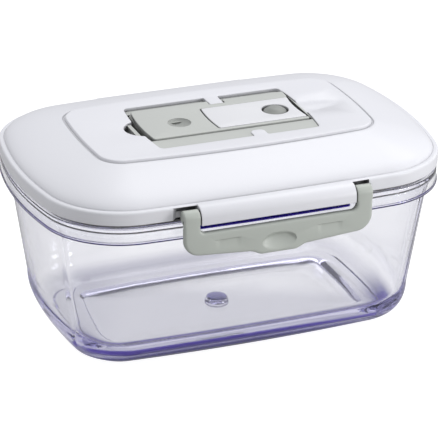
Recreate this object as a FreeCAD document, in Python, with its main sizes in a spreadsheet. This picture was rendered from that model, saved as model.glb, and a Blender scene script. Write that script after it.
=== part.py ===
import FreeCAD, Part
import math
import os
import Sketcher

doc = FreeCAD.newDocument("VacuumCanister")
V = FreeCAD.Vector

# Driving sizes in millimetres. Z is measured from the table, X runs along the length.
SIZES = [
    # plan outline shared by the flange of the tub and the rim of the lid
    ("rim_half_length", 115.0), ("rim_half_width", 77.2), ("rim_corner", 44.0),
    ("rim_side_radius", 1600.0), ("rim_end_radius", 210.0),
    # tub
    ("foot_end_taper", 28.2), ("foot_side_taper", 29.1), ("foot_corner", 20.0),
    ("foot_side_radius", 980.0), ("foot_end_radius", 480.0), ("foot_height", 2.4),
    ("panel_margin", 12.9), ("panel_corner", 6.0), ("panel_depth", 1.2), ("floor_thick", 3.8),
    ("floor_margin", 2.0), ("floor_corner", 12.0), ("inner_bowl_rise", 0.8),
    ("gate_radius", 6.0), ("gate_height", 0.7), ("tub_wall", 2.6), ("bowl_top", 22.0),
    ("wall_lean", 9.0), ("wall_inset", 5.0), ("wall_top", 82.0), ("skirt_wall", 2.0),
    ("skirt_hollow", 6.3), ("web_wall", 2.2), ("lip_rise", 1.8), ("bead_height", 1.5), ("bead_depth", 0.5),
    # lid cover
    ("lid_gap", 0.8), ("lid_wall", 2.6), ("band_height", 6.2), ("bevel_height", 1.1), ("edge_round", 0.9),
    ("dome_inset", 3.3), ("dome_step", 0.2), ("dome_rise", 11.9), ("plateau_step", 0.9),
    ("plateau_end_margin", 35.0), ("plateau_side_margin", 33.5), ("plateau_corner", 13.0),
    ("plateau_side_radius", 700.0), ("plateau_end_radius", 300.0), ("plateau_run", 1.2),
    ("opening_left", 46.0), ("opening_right", 49.0), ("opening_bow", 200.0), ("opening_corner", 3.0),
    ("ledge_width", 12.4), ("notch_offset", 3.4), ("notch_radius", 10.9), ("notch_depth", 10.0),
    ("scoop_margin", 6.5), ("scoop_half_width", 7.6), ("scoop_depth", 2.0),
    ("clip_rear_x", 7.0), ("clip_front_x", 13.0), ("clip_length", 8.0), ("clip_clear", 0.5),
    ("clip_bite", 4.0), ("clip_front_step", 5.0), ("clip_round", 3.0), ("rib_offset", 4.8), ("rib_wall", 1.6),
    ("nose_half_length", 43.4), ("nose_reach", 6.3), ("nose_drop", 2.1), ("nose_round", 6.0),
    ("latch_x", 1.7), ("nose_crown", 0.4), ("nose_root", 2.0), ("nose_foot", 5.0),
    ("pocket_gap", 0.3), ("stub_room", 0.6),
    # inner plate and seal of the lid
    ("plate_gap", 0.2), ("seal_room", 1.2), ("plate_thick", 2.0), ("plate_rise", 1.5),
    ("plate_edge_margin", 1.2), ("seal_outer", 1.4), ("seal_inner", 1.0), ("seal_skirt", 1.0),
    ("seal_lift", 0.4), ("groove_depth", 1.8),
    ("guide_gap", 1.3), ("guide_wall", 1.6), ("guide_drop", 3.0), ("mouth_gap", 0.3),
    # pump tray
    ("tray_gap", 0.3), ("well_end", 1.2), ("ledge_drop", 0.75), ("rear_ledge_drop", 1.9),
    ("clamp_height", 1.6), ("tray_base", 2.0), ("tray_wall", 2.0), ("tray_ledge_thick", 2.0),
    ("tab_gap", 2.3), ("tab_step", 1.0),
    ("tab_wall", 2.2), ("tab_drop", 0.3), ("tray_end", 8.0),
    # pump handle and slab
    ("handle_front", 17.0), ("handle_rear", 23.5), ("handle_gap", 0.4), ("heel_gap", 2.0), ("tip_gap", 2.0),
    ("handle_bow", 135.0), ("handle_proud", 0.3), ("handle_plate", 3.0), ("handle_depth", 8.7),
    ("handle_wall", 1.8), ("handle_round", 2.6),
    ("hinge_inset", 2.8), ("hinge_drop", 4.3), ("hinge_pin_radius", 1.5), ("hinge_play", 0.06),
    ("barrel_wall", 1.5), ("barrel_inset", 1.4), ("dimple_radius", 6.4), ("dimple_depth", 2.2),
    ("slab_offset", 17.0), ("slab_margin", 0.15), ("slab_side", 2.7), ("slab_thick", 1.3),
    ("slab_proud", 0.15), ("slab_bow", 110.0), ("slab_gap", 0.25), ("slab_notch_radius", 80.0),
    ("slab_notch_depth", 2.0), ("button_gap", 0.6),
    # pump
    ("swing_degrees", 34.0), ("lever_arm", 18.8), ("cross_pin_drop", 2.5), ("cross_pin_radius", 1.5),
    ("pin_over", 1.0), ("slot_play", 0.15), ("cheek_gap", 0.4), ("cheek_wall", 2.0),
    ("cheek_back", 4.0), ("cheek_ahead", 7.0), ("cheek_clear", 0.5), ("rod_head", 2.4),
    ("rod_radius", 4.0), ("rod_play", 0.06), ("guide_sleeve", 1.6), ("guide_brim", 1.6), ("guide_lip", 0.8),
    ("bore_radius", 12.5), ("bore_depth", 19.6), ("cylinder_wall", 2.0), ("cylinder_base", 2.0),
    ("gasket_thick", 1.2), ("flange_thick", 1.5), ("flange_reach", 5.5), ("clamp_margin", 2.7),
    ("piston_rest", 0.4), ("piston_height", 5.8), ("piston_gap", 0.5), ("cup_low", 1.4), ("cup_high", 1.6),
    ("cup_depth", 2.4), ("cup_clear", 0.1), ("cup_lip", 0.8), ("relief_depth", 1.2), ("relief_margin", 1.5),
    ("bulb_edge", 0.4), ("flap_radius", 5.5), ("flap_thick", 0.7), ("flap_stem", 1.35), ("bulb_over", 0.85),
    ("flap_bulb_height", 1.3), ("port_radius", 0.9), ("port_offset", 2.25),
    # release valve
    ("valve_margin", 13.65), ("button_radius", 6.8), ("button_proud", 1.7), ("button_cap", 2.2),
    ("button_skirt", 3.6), ("stem_radius", 2.9), ("stem_drop", 0.8), ("stem_play", 0.06),
    ("needle_radius", 1.5), ("barb_height", 0.9), ("barb_over", 0.8), ("barb_taper", 0.6),
    ("boss_wall", 1.5), ("press_room", 3.1),
    ("plug_over", 2.4), ("plug_thick", 2.0), ("plug_bevel", 0.8), ("port_gap", 1.1),
    ("tower_inner", 4.6), ("tower_wall", 2.4),
    ("coil_gap", 0.95), ("coil_wire", 0.35), ("coil_turns", 5.0),
    # latches
    ("latch_gap", 0.4), ("arm_width", 9.0), ("face_step", 0.1), ("latch_plate", 3.0),
    ("pin_depth", 3.7), ("pin_rise", 2.6), ("latch_eye", 3.6), ("latch_stub", 1.84),
    ("latch_stub_play", 0.06), ("latch_stub_length", 6.0), ("window_rise", 5.0),
    ("corner_drop", 6.8), ("middle_drop", 3.2), ("thumb_drop", 2.2), ("thumb_half", 11.0),
    ("shoulder_run", 3.5), ("latch_corner", 8.0), ("lip_margin", 5.8), ("hook_drop", 0.6),
    ("hook_height", 1.3), ("hook_gap", 0.55), ("thumb_rise", 7.2),
    ("thumb_scoop_half", 9.5), ("thumb_scoop_high", 4.3), ("thumb_scoop_depth", 2.0),
    ("pad_margin", 15.3), ("pad_half", 7.5), ("pad_drop", 5.0), ("pad_height", 5.0), ("pad_depth", 0.6),
]

# Sizes that follow from the driving ones, so that neighbours move together.
FOLLOWING = [
    ("foot_half_length", "rim_half_length - foot_end_taper"),
    ("foot_half_width", "rim_half_width - foot_side_taper"),
    ("panel_half_length", "foot_half_length - panel_margin"),
    ("panel_half_width", "foot_half_width - panel_margin"),
    ("tub_floor", "panel_depth + floor_thick"),
    ("bowl_inset", "wall_inset + wall_lean"),
    ("skirt_bottom", "wall_top + 0"),
    ("web_bottom", "skirt_bottom + skirt_hollow"),
    ("web_top", "web_bottom + web_wall"),
    ("lip_top", "web_top + lip_rise"),
    ("lid_bottom", "lip_top + lid_gap"),
    ("band_top", "lid_bottom + band_height"),
    ("ledge_z", "band_top + bevel_height"),
    ("dome_z", "ledge_z + dome_step"),
    ("plateau_foot", "dome_z + dome_rise"),
    ("plateau_top", "plateau_foot + plateau_step"),
    ("plateau_half_length", "rim_half_length - plateau_end_margin"),
    ("plateau_half_width", "rim_half_width - plateau_side_margin"),
    ("well_front", "handle_front + handle_gap"),
    ("well_rear", "handle_rear + handle_gap"),
    ("opening_half_width", "well_front + ledge_width"),
    ("notch_x", "opening_left - notch_offset"),
    ("scoop_x", "opening_right + 0"),
    ("scoop_length", "plateau_half_length - opening_right - scoop_margin"),
    ("clip_reach", "handle_rear - clip_bite"),
    ("clip_front_reach", "well_front + clip_front_step"),
    ("nose_y", "rim_half_width + nose_reach"),
    ("nose_bottom", "lid_bottom - nose_drop"),
    ("plate_inset", "lid_wall + plate_gap"),
    ("rib_inset", "plate_inset + rib_offset"),
    ("plate_bottom", "lip_top + seal_room"),
    ("plate_top", "plate_bottom + plate_thick"),
    ("plate_edge_top", "plate_top + plate_rise"),
    ("groove_inset", "wall_inset - seal_outer"),
    ("groove_width", "tub_wall + seal_outer + seal_inner"),
    ("groove_top", "plate_bottom + groove_depth"),
    ("plate_edge_width", "groove_inset + groove_width + plate_edge_margin - plate_inset"),
    ("guide_inset", "wall_inset + tub_wall + guide_gap"),
    ("guide_bottom", "plate_bottom - guide_drop"),
    ("flange_bottom", "plate_top + gasket_thick"),
    ("flange_top", "flange_bottom + flange_thick"),
    ("tray_ledge", "plateau_top - ledge_drop"),
    ("rear_ledge", "plateau_top - rear_ledge_drop"),
    ("tray_bottom", "flange_top + clamp_height"),
    ("tray_floor", "tray_bottom + tray_base"),
    ("tab_outer", "notch_radius - tab_gap"),
    ("tab_near", "opening_left + tab_step"),
    ("tab_far", "tab_near + tab_wall"),
    ("tab_top", "tray_ledge - tab_drop"),
    ("handle_left", "opening_left - heel_gap"),
    ("handle_right", "opening_right - tip_gap"),
    ("handle_top", "plateau_top + handle_proud"),
    ("handle_bottom", "handle_top - handle_depth"),
    ("hinge_x", "handle_left - hinge_inset"),
    ("hinge_z", "handle_top - hinge_drop"),
    ("hinge_barrel", "hinge_pin_radius + barrel_wall"),
    ("piston_x", "hinge_x - lever_arm"),
    ("dimple_x", "piston_x + 0"),
    ("slab_left", "piston_x - slab_offset"),
    ("slab_right", "handle_right - slab_margin"),
    ("slab_half_width", "handle_front - slab_side"),
    ("valve_x", "slab_right - valve_margin"),
    ("button_hole", "button_radius + button_gap"),
    ("cheek_inner", "rod_radius + cheek_gap"),
    ("cross_pin_half", "cheek_inner + cheek_wall + pin_over"),
    ("guide_radius", "rod_radius + guide_sleeve"),
    ("guide_flange", "guide_radius + guide_brim"),
    ("flange_radius", "bore_radius + flange_reach"),
    ("clamp_inner", "bore_radius + clamp_margin"),
    ("cylinder_floor", "flange_top - bore_depth"),
    ("cylinder_bottom", "cylinder_floor - cylinder_base"),
    ("piston_bottom", "cylinder_floor + piston_rest"),
    ("piston_top", "piston_bottom + piston_height"),
    ("cup_bottom", "piston_bottom + cup_low"),
    ("cup_top", "piston_top - cup_high"),
    ("piston_radius", "bore_radius - piston_gap"),
    ("cup_inner", "piston_radius - cup_depth"),
    ("flap_bulb", "flap_stem + bulb_over"),
    ("port_circle", "flap_stem + port_offset"),
    ("button_top", "handle_top + button_proud"),
    ("button_shoulder", "button_top - button_cap"),
    ("button_bottom", "button_shoulder - button_skirt"),
    ("stem_bottom", "tray_floor - stem_drop"),
    ("needle_bottom", "plate_bottom - plug_thick - barb_height"),
    ("barb_radius", "needle_radius + barb_over"),
    ("boss_radius", "stem_radius + boss_wall"),
    ("boss_top", "button_bottom - press_room"),
    ("port_hole", "needle_radius + port_gap"),
    ("plug_radius", "port_hole + plug_over"),
    ("tower_outer", "tower_inner + tower_wall"),
    ("coil_radius", "boss_radius + coil_gap"),
    ("latch_inner", "nose_half_length + latch_gap"),
    ("latch_half_width", "latch_inner + arm_width"),
    ("latch_face", "nose_y + face_step"),
    ("latch_pin_y", "latch_face - pin_depth"),
    ("latch_pin_z", "lid_bottom + pin_rise"),
    ("window_bottom", "skirt_bottom + window_rise"),
    ("latch_corner_z", "skirt_bottom - corner_drop"),
    ("latch_middle_z", "latch_corner_z - middle_drop"),
    ("thumb_z", "latch_middle_z - thumb_drop"),
    ("latch_shoulder", "thumb_half + shoulder_run"),
    ("lip_half_length", "latch_inner - lip_margin"),
    ("hook_top", "skirt_bottom - hook_drop"),
    ("hook_y", "rim_half_width + hook_gap"),
    ("thumb_centre_z", "thumb_z + thumb_rise"),
    ("pad_x", "latch_inner - pad_margin"),
    ("pad_bottom", "skirt_bottom - pad_drop"),
    ("pad_top", "pad_bottom + pad_height"),
]

# Cutters run past what they cut, and joined pieces reach into each other.
OVER = 1.0
THROUGH = 20.0
OVERLAP = 0.1

sheet = doc.addObject("Spreadsheet::Sheet", "Sizes")
rows = [(word, str(number)) for word, number in SIZES]
rows += [(word, "=" + formula) for word, formula in FOLLOWING]
for row, (word, content) in enumerate(rows, start=1):
    sheet.set("A%d" % row, word)
    sheet.set("B%d" % row, content)
    sheet.setAlias("B%d" % row, word)
doc.recompute()


class Dim:
    """A size with its value and the expression that binds a document object to it."""

    def __init__(self, value, text):
        self.value = float(value)
        self.text = text

    def __float__(self):
        return self.value

    def __add__(self, other):
        return Dim(self.value + float(other), "(%s + %s)" % (self.text, words(other)))

    def __sub__(self, other):
        return Dim(self.value - float(other), "(%s - %s)" % (self.text, words(other)))

    def __mul__(self, other):
        return Dim(self.value * float(other), "(%s * %s)" % (self.text, words(other)))

    def __neg__(self):
        return Dim(-self.value, "(0 - %s)" % self.text)


def words(item):
    if isinstance(item, Dim):
        return item.text
    return "%.6f" % float(item)


def S(word):
    return Dim(sheet.get(word), "Sizes.%s" % word)


def F(word):
    return float(sheet.get(word))


def bind(obj, prop, item):
    if isinstance(item, Dim):
        obj.setExpression(prop, item.text)


def place(obj, x, y, z, rotation=None):
    turn = rotation if rotation is not None else FreeCAD.Rotation()
    obj.Placement = FreeCAD.Placement(V(float(x), float(y), float(z)), turn)
    bind(obj, "Placement.Base.x", x)
    bind(obj, "Placement.Base.y", y)
    bind(obj, "Placement.Base.z", z)


def box(name, x0, x1, y0, y1, z0, z1):
    obj = doc.addObject("Part::Box", name)
    for prop, low, high in (("Length", x0, x1), ("Width", y0, y1), ("Height", z0, z1)):
        span = as_dim(high) - low
        setattr(obj, prop, float(span))
        bind(obj, prop, span)
    place(obj, x0, y0, z0)
    return obj


def as_dim(item):
    if isinstance(item, Dim):
        return item
    return Dim(item, "%.6f" % float(item))


TURNS = {
    "x": FreeCAD.Rotation(V(0, 1, 0), 90),
    "y": FreeCAD.Rotation(V(1, 0, 0), -90),
    "z": FreeCAD.Rotation(),
}


def rod(name, way, x, y, z, radius, height):
    """Cylinder that starts at x, y, z and runs along the named axis."""
    obj = doc.addObject("Part::Cylinder", name)
    obj.Radius = float(radius)
    obj.Height = float(height)
    bind(obj, "Radius", radius)
    bind(obj, "Height", height)
    place(obj, x, y, z, TURNS[way])
    return obj


def ellipsoid(name, x, y, z, half_x, half_y, half_z):
    obj = doc.addObject("Part::Ellipsoid", name)
    for prop, item in (("Radius1", half_z), ("Radius2", half_x), ("Radius3", half_y)):
        setattr(obj, prop, float(item))
        bind(obj, prop, item)
    obj.Angle1 = -90
    obj.Angle2 = 90
    place(obj, x, y, z)
    return obj


def fuse(name, pieces):
    obj = doc.addObject("Part::MultiFuse", name)
    obj.Shapes = pieces
    obj.Refine = True
    return obj


def common(name, pieces):
    obj = doc.addObject("Part::MultiCommon", name)
    obj.Shapes = pieces
    return obj


def cut(name, base, tools):
    obj = doc.addObject("Part::Cut", name)
    obj.Base = base
    obj.Tool = tools[0] if len(tools) == 1 else fuse(name + "Tools", tools)
    obj.Refine = True
    return obj


def solid(name, shape):
    obj = doc.addObject("Part::Feature", name)
    obj.Shape = shape
    return obj


def sketch_in(body, name, plane, corners):
    """Closed outline of straight lines whose corners are bound to the sizes."""
    sk = body.newObject("Sketcher::SketchObject", name)
    support = [o for o in body.Origin.OriginFeatures if o.Role == plane][0]
    sk.AttachmentSupport = [(support, "")]
    sk.MapMode = "FlatFace"
    count = len(corners)
    for i in range(count):
        start = corners[i]
        end = corners[(i + 1) % count]
        sk.addGeometry(Part.LineSegment(V(float(start[0]), float(start[1]), 0),
                                        V(float(end[0]), float(end[1]), 0)), False)
    for i in range(count):
        sk.addConstraint(Sketcher.Constraint("Coincident", i, 2, (i + 1) % count, 1))
    for i in range(count):
        for kind, item in (("DistanceX", corners[i][0]), ("DistanceY", corners[i][1])):
            spot = sk.addConstraint(Sketcher.Constraint(kind, -1, 1, i, 1, float(item)))
            bind(sk, "Constraints[%d]" % spot, item)
    return sk


def turned(name, corners, x):
    """Body of revolution round an upright axis: corners are (radius, height)."""
    body = doc.addObject("PartDesign::Body", name)
    sk = sketch_in(body, name + "Profile", "XZ_Plane", corners)
    turn = body.newObject("PartDesign::Revolution", name + "Turn")
    turn.Profile = sk
    turn.ReferenceAxis = (sk, ["V_Axis"])
    turn.Angle = 360.0
    sk.Visibility = False
    body.Tip = turn
    place(body, x, 0, 0)
    return body


def plan_wire(half_length, half_width, corner, side_radius, end_radius, z):
    """Outline of four flat side arcs joined by four tangent corner arcs."""
    side = V(0, half_width - side_radius, 0)
    end = V(half_length - end_radius, 0, 0)
    reach_side = side_radius - corner
    reach_end = end_radius - corner
    between = end - side
    span = between.Length
    along = (reach_side ** 2 - reach_end ** 2 + span ** 2) / (2.0 * span)
    across = math.sqrt(max(reach_side ** 2 - along ** 2, 0.0))
    unit = between * (1.0 / span)
    normal = V(-unit.y, unit.x, 0)
    first = side + unit * along + normal * across
    second = side + unit * along - normal * across
    centre = first if first.x + first.y > second.x + second.y else second
    to_side = (centre - side).normalize()
    to_end = (centre - end).normalize()
    mid = (to_side + to_end).normalize()
    joint_side = side + to_side * side_radius
    joint_mid = centre + mid * corner
    joint_end = end + to_end * end_radius

    def at(point, sx, sy):
        return V(point.x * sx, point.y * sy, z)

    top = V(0, half_width, 0)
    tip = V(half_length, 0, 0)
    edges = []
    edges.append(Part.Arc(at(joint_side, -1, 1), at(top, 1, 1), at(joint_side, 1, 1)).toShape())
    edges.append(Part.Arc(at(joint_side, 1, 1), at(joint_mid, 1, 1), at(joint_end, 1, 1)).toShape())
    edges.append(Part.Arc(at(joint_end, 1, 1), at(tip, 1, 1), at(joint_end, 1, -1)).toShape())
    edges.append(Part.Arc(at(joint_end, 1, -1), at(joint_mid, 1, -1), at(joint_side, 1, -1)).toShape())
    edges.append(Part.Arc(at(joint_side, 1, -1), at(top, 1, -1), at(joint_side, -1, -1)).toShape())
    edges.append(Part.Arc(at(joint_side, -1, -1), at(joint_mid, -1, -1), at(joint_end, -1, -1)).toShape())
    edges.append(Part.Arc(at(joint_end, -1, -1), at(tip, -1, 1), at(joint_end, -1, 1)).toShape())
    edges.append(Part.Arc(at(joint_end, -1, 1), at(joint_mid, -1, 1), at(joint_side, -1, 1)).toShape())
    return Part.Wire(edges)


def rim_wire(inset, z):
    """Rim outline moved inward by the inset, all arcs staying concentric."""
    return plan_wire(F("rim_half_length") - inset, F("rim_half_width") - inset, F("rim_corner") - inset,
                     F("rim_side_radius") - inset, F("rim_end_radius") - inset, z)


def prism(lower, upper):
    return Part.makeLoft([lower, upper], True, True)


def rim_prism(inset, z0, z1):
    return prism(rim_wire(inset, z0), rim_wire(inset, z1))


def rim_ring(outer, inner, z0, z1):
    return rim_prism(outer, z0, z1).cut(rim_prism(inner, z0 - OVER, z1 + OVER))


def blend_wire(share, low, high, z):
    """Outline between two sets of plan sizes."""
    mixed = [a + (b - a) * share for a, b in zip(low, high)]
    return plan_wire(mixed[0], mixed[1], mixed[2], mixed[3], mixed[4], z)


def rim_sizes(inset):
    return [F("rim_half_length") - inset, F("rim_half_width") - inset, F("rim_corner") - inset,
            F("rim_side_radius") - inset, F("rim_end_radius") - inset]


BOWL_STEPS = (0.0, 0.22, 0.48, 0.74, 1.0)


def bowl(foot, wall, z_low, z_high):
    """Rounded lower part: leaves the foot level and meets the wall upright."""
    wires = []
    for step in BOWL_STEPS:
        angle = step * math.pi / 2.0
        height = z_low + (z_high - z_low) * (1.0 - math.cos(angle))
        wires.append(blend_wire(math.sin(angle), foot, wall, height))
    return Part.makeLoft(wires, True, False)


def make_tub():
    foot = [F("foot_half_length"), F("foot_half_width"), F("foot_corner"), F("foot_side_radius"),
            F("foot_end_radius")]
    wall_low = rim_sizes(F("bowl_inset"))
    outer = bowl(foot, wall_low, F("foot_height"), F("bowl_top"))
    outer = outer.fuse(prism(plan_wire(*foot, 0.0), plan_wire(*foot, F("foot_height"))))
    outer = outer.fuse(prism(plan_wire(*wall_low, F("bowl_top")), rim_wire(F("wall_inset"), F("wall_top"))))
    outer = outer.fuse(rim_prism(F("wall_inset"), F("wall_top"), F("lip_top")))
    thick = F("tub_wall")
    floor_sizes = [F("panel_half_length") + F("floor_margin"), F("panel_half_width") + F("floor_margin"),
                   F("floor_corner"), F("foot_side_radius"), F("foot_end_radius")]
    inner_low = rim_sizes(F("bowl_inset") + thick)
    inner_top = F("wall_inset") + thick
    bend = F("bowl_top") + F("inner_bowl_rise")
    inner = bowl(floor_sizes, inner_low, F("tub_floor"), bend)
    inner = inner.fuse(prism(plan_wire(*inner_low, bend), rim_wire(inner_top, F("wall_top"))))
    inner = inner.fuse(rim_prism(inner_top, F("wall_top"), F("lip_top") + OVER))
    shape = outer.cut(inner)
    mid = F("wall_inset") + 0.5 * thick
    web = rim_ring(F("bead_depth"), mid, F("web_bottom"), F("web_top"))
    skirt = rim_ring(F("bead_depth"), F("skirt_wall"), F("skirt_bottom"), F("web_top"))
    bead = rim_ring(0.0, F("skirt_wall"), F("skirt_bottom"), F("skirt_bottom") + F("bead_height"))
    shape = shape.fuse([web, skirt, bead])
    panel = [F("panel_half_length"), F("panel_half_width"), F("panel_corner"), F("foot_side_radius"),
             F("foot_end_radius")]
    shape = shape.cut(prism(plan_wire(*panel, -OVER), plan_wire(*panel, F("panel_depth"))))
    gate = Part.makeCylinder(F("gate_radius"), F("gate_height"),
                             V(0, 0, F("panel_depth") - F("gate_height")))
    ball = 3.0 * F("gate_radius")
    dent = Part.makeSphere(ball, V(0, 0, F("panel_depth") - 0.5 * F("gate_height") - ball))
    return shape.fuse(gate.cut(dent)).removeSplitter()


DOME_STEPS = (0.0, 0.035, 0.12, 0.3, 0.6, 1.0)
DOME_POWER = 2.2


def dome(skin):
    """Domed top of the lid, moved inward and down by the skin thickness."""
    low = rim_sizes(F("dome_inset") + skin)
    reach = F("plateau_run") - 0.5 * skin
    high = [F("plateau_half_length") + reach, F("plateau_half_width") + reach, F("plateau_corner"),
            F("plateau_side_radius"), F("plateau_end_radius")]
    rise = F("plateau_foot") - F("dome_z")
    wires = []
    for step in DOME_STEPS:
        height = F("dome_z") - skin + rise * math.sqrt(1.0 - (1.0 - step) ** DOME_POWER)
        wires.append(blend_wire(step, low, high, height))
    return Part.makeLoft(wires, True, False)


def opening_shape(gap, z0, z1):
    """Pump opening: a box with bowed ends and rounded corners, smaller by the gap."""
    left = -F("opening_left") + gap
    right = F("opening_right") - gap
    half = F("opening_half_width") - gap
    bow = F("opening_bow")
    block = Part.makeBox(right - left, 2.0 * half, z1 - z0, V(left, -half, z0))
    block = block.common(Part.makeCylinder(bow, z1 - z0, V(left + bow, 0, z0)))
    block = block.common(Part.makeCylinder(bow, z1 - z0, V(right - bow, 0, z0)))
    upright = []
    for edge in block.Edges:
        ends = [v.Point for v in edge.Vertexes]
        if len(ends) == 2 and abs(ends[0].z - ends[1].z) > 0.5 * (z1 - z0) and abs(ends[0].y) > 0.5 * half:
            upright.append(edge)
    return block.makeFillet(F("opening_corner"), upright)


def nose_shape(sign):
    """Hinge block between the latch arms, with a rounded outer edge on top."""
    out = F("nose_y")
    top = F("ledge_z") + F("nose_crown")
    back = F("rim_half_width") - F("nose_root")
    r = F("nose_round")
    s = math.sqrt(0.5)
    lower = F("nose_bottom")
    step = out - F("nose_foot")
    points = [V(0, back, top), V(0, out - r, top)]
    arc = Part.Arc(V(0, out - r, top), V(0, out - r + r * s, top - r + r * s), V(0, out, top - r)).toShape()
    edges = [Part.makeLine(points[0], points[1]), arc]
    rest = [V(0, out, top - r), V(0, out, lower), V(0, step, lower), V(0, step, F("lid_bottom")),
            V(0, back, F("lid_bottom")), V(0, back, top)]
    for a, b in zip(rest[:-1], rest[1:]):
        edges.append(Part.makeLine(a, b))
    face = Part.Face(Part.Wire(edges))
    half = F("nose_half_length")
    face.translate(V(F("latch_x") - half, 0, 0))
    block = face.extrude(V(2.0 * half, 0, 0))
    if sign < 0:
        block = block.mirror(V(0, 0, 0), V(0, 1, 0))
    return block


def make_lid():
    low = F("lid_bottom")
    ledge = F("ledge_z")
    band = rim_prism(0.0, low, F("band_top"))
    edge = prism(rim_wire(0.0, F("band_top")), rim_wire(F("edge_round"), ledge))
    collar = rim_prism(F("edge_round"), ledge - 0.5, F("dome_z"))
    plateau_sizes = [F("plateau_half_length"), F("plateau_half_width"), F("plateau_corner"),
                     F("plateau_side_radius"), F("plateau_end_radius")]
    plateau = prism(plan_wire(*plateau_sizes, F("plateau_foot") - OVER),
                    plan_wire(*plateau_sizes, F("plateau_top")))
    outer = band.fuse([edge, collar, dome(0.0), plateau])
    skin = F("lid_wall")
    hollow = rim_prism(skin, low - OVER, F("dome_z") - skin).fuse(dome(skin))
    shape = outer.cut(hollow)
    rib = rim_ring(F("rib_inset"), F("rib_inset") + F("rib_wall"), F("plate_edge_top"), F("plateau_foot"))
    shape = shape.fuse(rib.common(outer))
    shape = shape.fuse([nose_shape(1), nose_shape(-1)])
    top = F("plateau_top")
    hole = opening_shape(0.0, F("tray_floor"), top + OVER)
    notch = Part.makeCylinder(F("notch_radius"), F("notch_depth") + OVER,
                              V(-F("notch_x"), 0, top - F("notch_depth")))
    shape = shape.cut([hole, notch])
    length = F("clip_length")
    half = F("opening_half_width")
    rear = Part.makeBox(length, half - F("clip_reach") + OVER, top - F("rear_ledge"),
                        V(F("clip_rear_x") - 0.5 * length, F("clip_reach"), F("rear_ledge")))
    front = Part.makeBox(length, half - F("clip_front_reach") + OVER, top - F("tray_ledge"),
                         V(F("clip_front_x") - 0.5 * length, -half - OVER, F("tray_ledge")))
    tip = -F("clip_front_reach")
    ends = [e for e in front.Edges if all(abs(v.Point.y - tip) < 0.01 for v in e.Vertexes)]
    ends = [e for e in ends if abs(e.Vertexes[0].Point.z - e.Vertexes[1].Point.z) > 0.1]
    front = front.makeFillet(F("clip_round"), ends)
    shape = shape.fuse([rear, front])
    gap = F("pocket_gap")
    eye = F("latch_eye") + gap
    width = F("latch_half_width") - F("latch_inner") + 2.0 * gap
    depth = F("latch_stub_length") + F("stub_room")
    tools = []
    for sy in (-1, 1):
        for sx in (-1, 1):
            start = F("latch_inner") - gap if sx > 0 else -F("latch_inner") + gap - width
            at = V(F("latch_x") + start, sy * F("latch_pin_y"), F("latch_pin_z"))
            tools.append(Part.makeCylinder(eye, width, at, V(1, 0, 0)))
            start = F("nose_half_length") - depth if sx > 0 else -F("nose_half_length")
            at = V(F("latch_x") + start, sy * F("latch_pin_y"), F("latch_pin_z"))
            bore = F("latch_stub") + F("latch_stub_play")
            tools.append(Part.makeCylinder(bore, depth, at, V(1, 0, 0)))
    return shape.cut(tools)


scoop = ellipsoid("ScoopTool", S("scoop_x"), 0, S("plateau_top"), S("scoop_length"),
                  S("scoop_half_width"), S("scoop_depth"))


def make_plate():
    low = F("plate_bottom")
    shape = rim_prism(F("plate_inset"), low, F("plate_top"))
    edge = rim_ring(F("plate_inset"), F("plate_inset") + F("plate_edge_width"), low, F("plate_edge_top"))
    guide = rim_ring(F("guide_inset"), F("guide_inset") + F("guide_wall"), F("guide_bottom"), F("plate_top"))
    valve = V(F("valve_x"), 0, F("plate_top"))
    tower = Part.makeCylinder(F("tower_outer"), F("tray_bottom") - F("plate_top"), valve)
    shape = shape.fuse([edge, guide, tower])
    groove = rim_ring(F("groove_inset"), F("groove_inset") + F("groove_width"), low - OVER, F("groove_top"))
    tower_bore = Part.makeCylinder(F("tower_inner"), THROUGH, valve)
    port = Part.makeCylinder(F("port_hole"), THROUGH, V(F("valve_x"), 0, low - OVER))
    mouth = Part.makeCylinder(F("bore_radius") + F("cylinder_wall") + F("mouth_gap"), THROUGH,
                              V(-F("piston_x"), 0, low - OVER))
    return shape.cut([groove, tower_bore, port, mouth])


def make_seal():
    ring = rim_ring(F("groove_inset"), F("groove_inset") + F("groove_width"), F("lip_top"), F("groove_top"))
    skirt = rim_ring(F("groove_inset"), F("groove_inset") + F("seal_skirt"), F("web_top") + F("seal_lift"),
                     F("lip_top"))
    return ring.fuse(skirt).removeSplitter()


tub = solid("tub", make_tub())
lid_blank = solid("LidBlank", make_lid())
lid_cover = cut("lid_cover", lid_blank, [scoop])
inner_plate = solid("lid_inner_plate", make_plate())
lid_seal = solid("lid_seal", make_seal())

# Pump tray: the opening's shape with a long well for the handle and two ledges beside it.
tray_block = solid("TrayBlock", opening_shape(F("tray_gap"), F("tray_bottom"), F("tray_ledge")))
tray_clamp = rod("TrayClamp", "z", -S("piston_x"), 0, S("flange_top"), S("flange_radius"),
                 S("tray_bottom") - S("flange_top"))
tab_foot = rod("TabFoot", "z", -S("notch_x"), 0, S("tray_bottom"), S("tab_outer"), S("tray_base"))
tab_wall = box("TabWall", -S("tab_far"), -S("tab_near"), -S("tab_outer"), S("tab_outer"), S("tray_bottom"),
               S("tab_top"))
well = box("TrayWell", -S("opening_left") - OVER, S("opening_right") - S("well_end"), -S("well_front"),
           S("well_rear"), S("tray_floor"), S("tray_ledge") + OVER)
rear_step = box("TrayRearStep", -S("opening_left") - OVER, S("opening_right") + OVER,
                S("well_rear") - OVERLAP, S("opening_half_width") + OVER, S("rear_ledge"),
                S("tray_ledge") + OVER)
well_cut = cut("TrayWellCut", tray_block, [well, rear_step])
hollow_half = S("opening_half_width") - S("tray_gap") - S("tray_wall")
tray_rear = box("TrayRear", -S("opening_left") + S("tray_end"), S("opening_right") - S("tray_end"),
                S("well_rear") + S("tray_wall"), hollow_half, S("tray_bottom") - OVER,
                S("rear_ledge") - S("tray_ledge_thick"))
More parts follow.
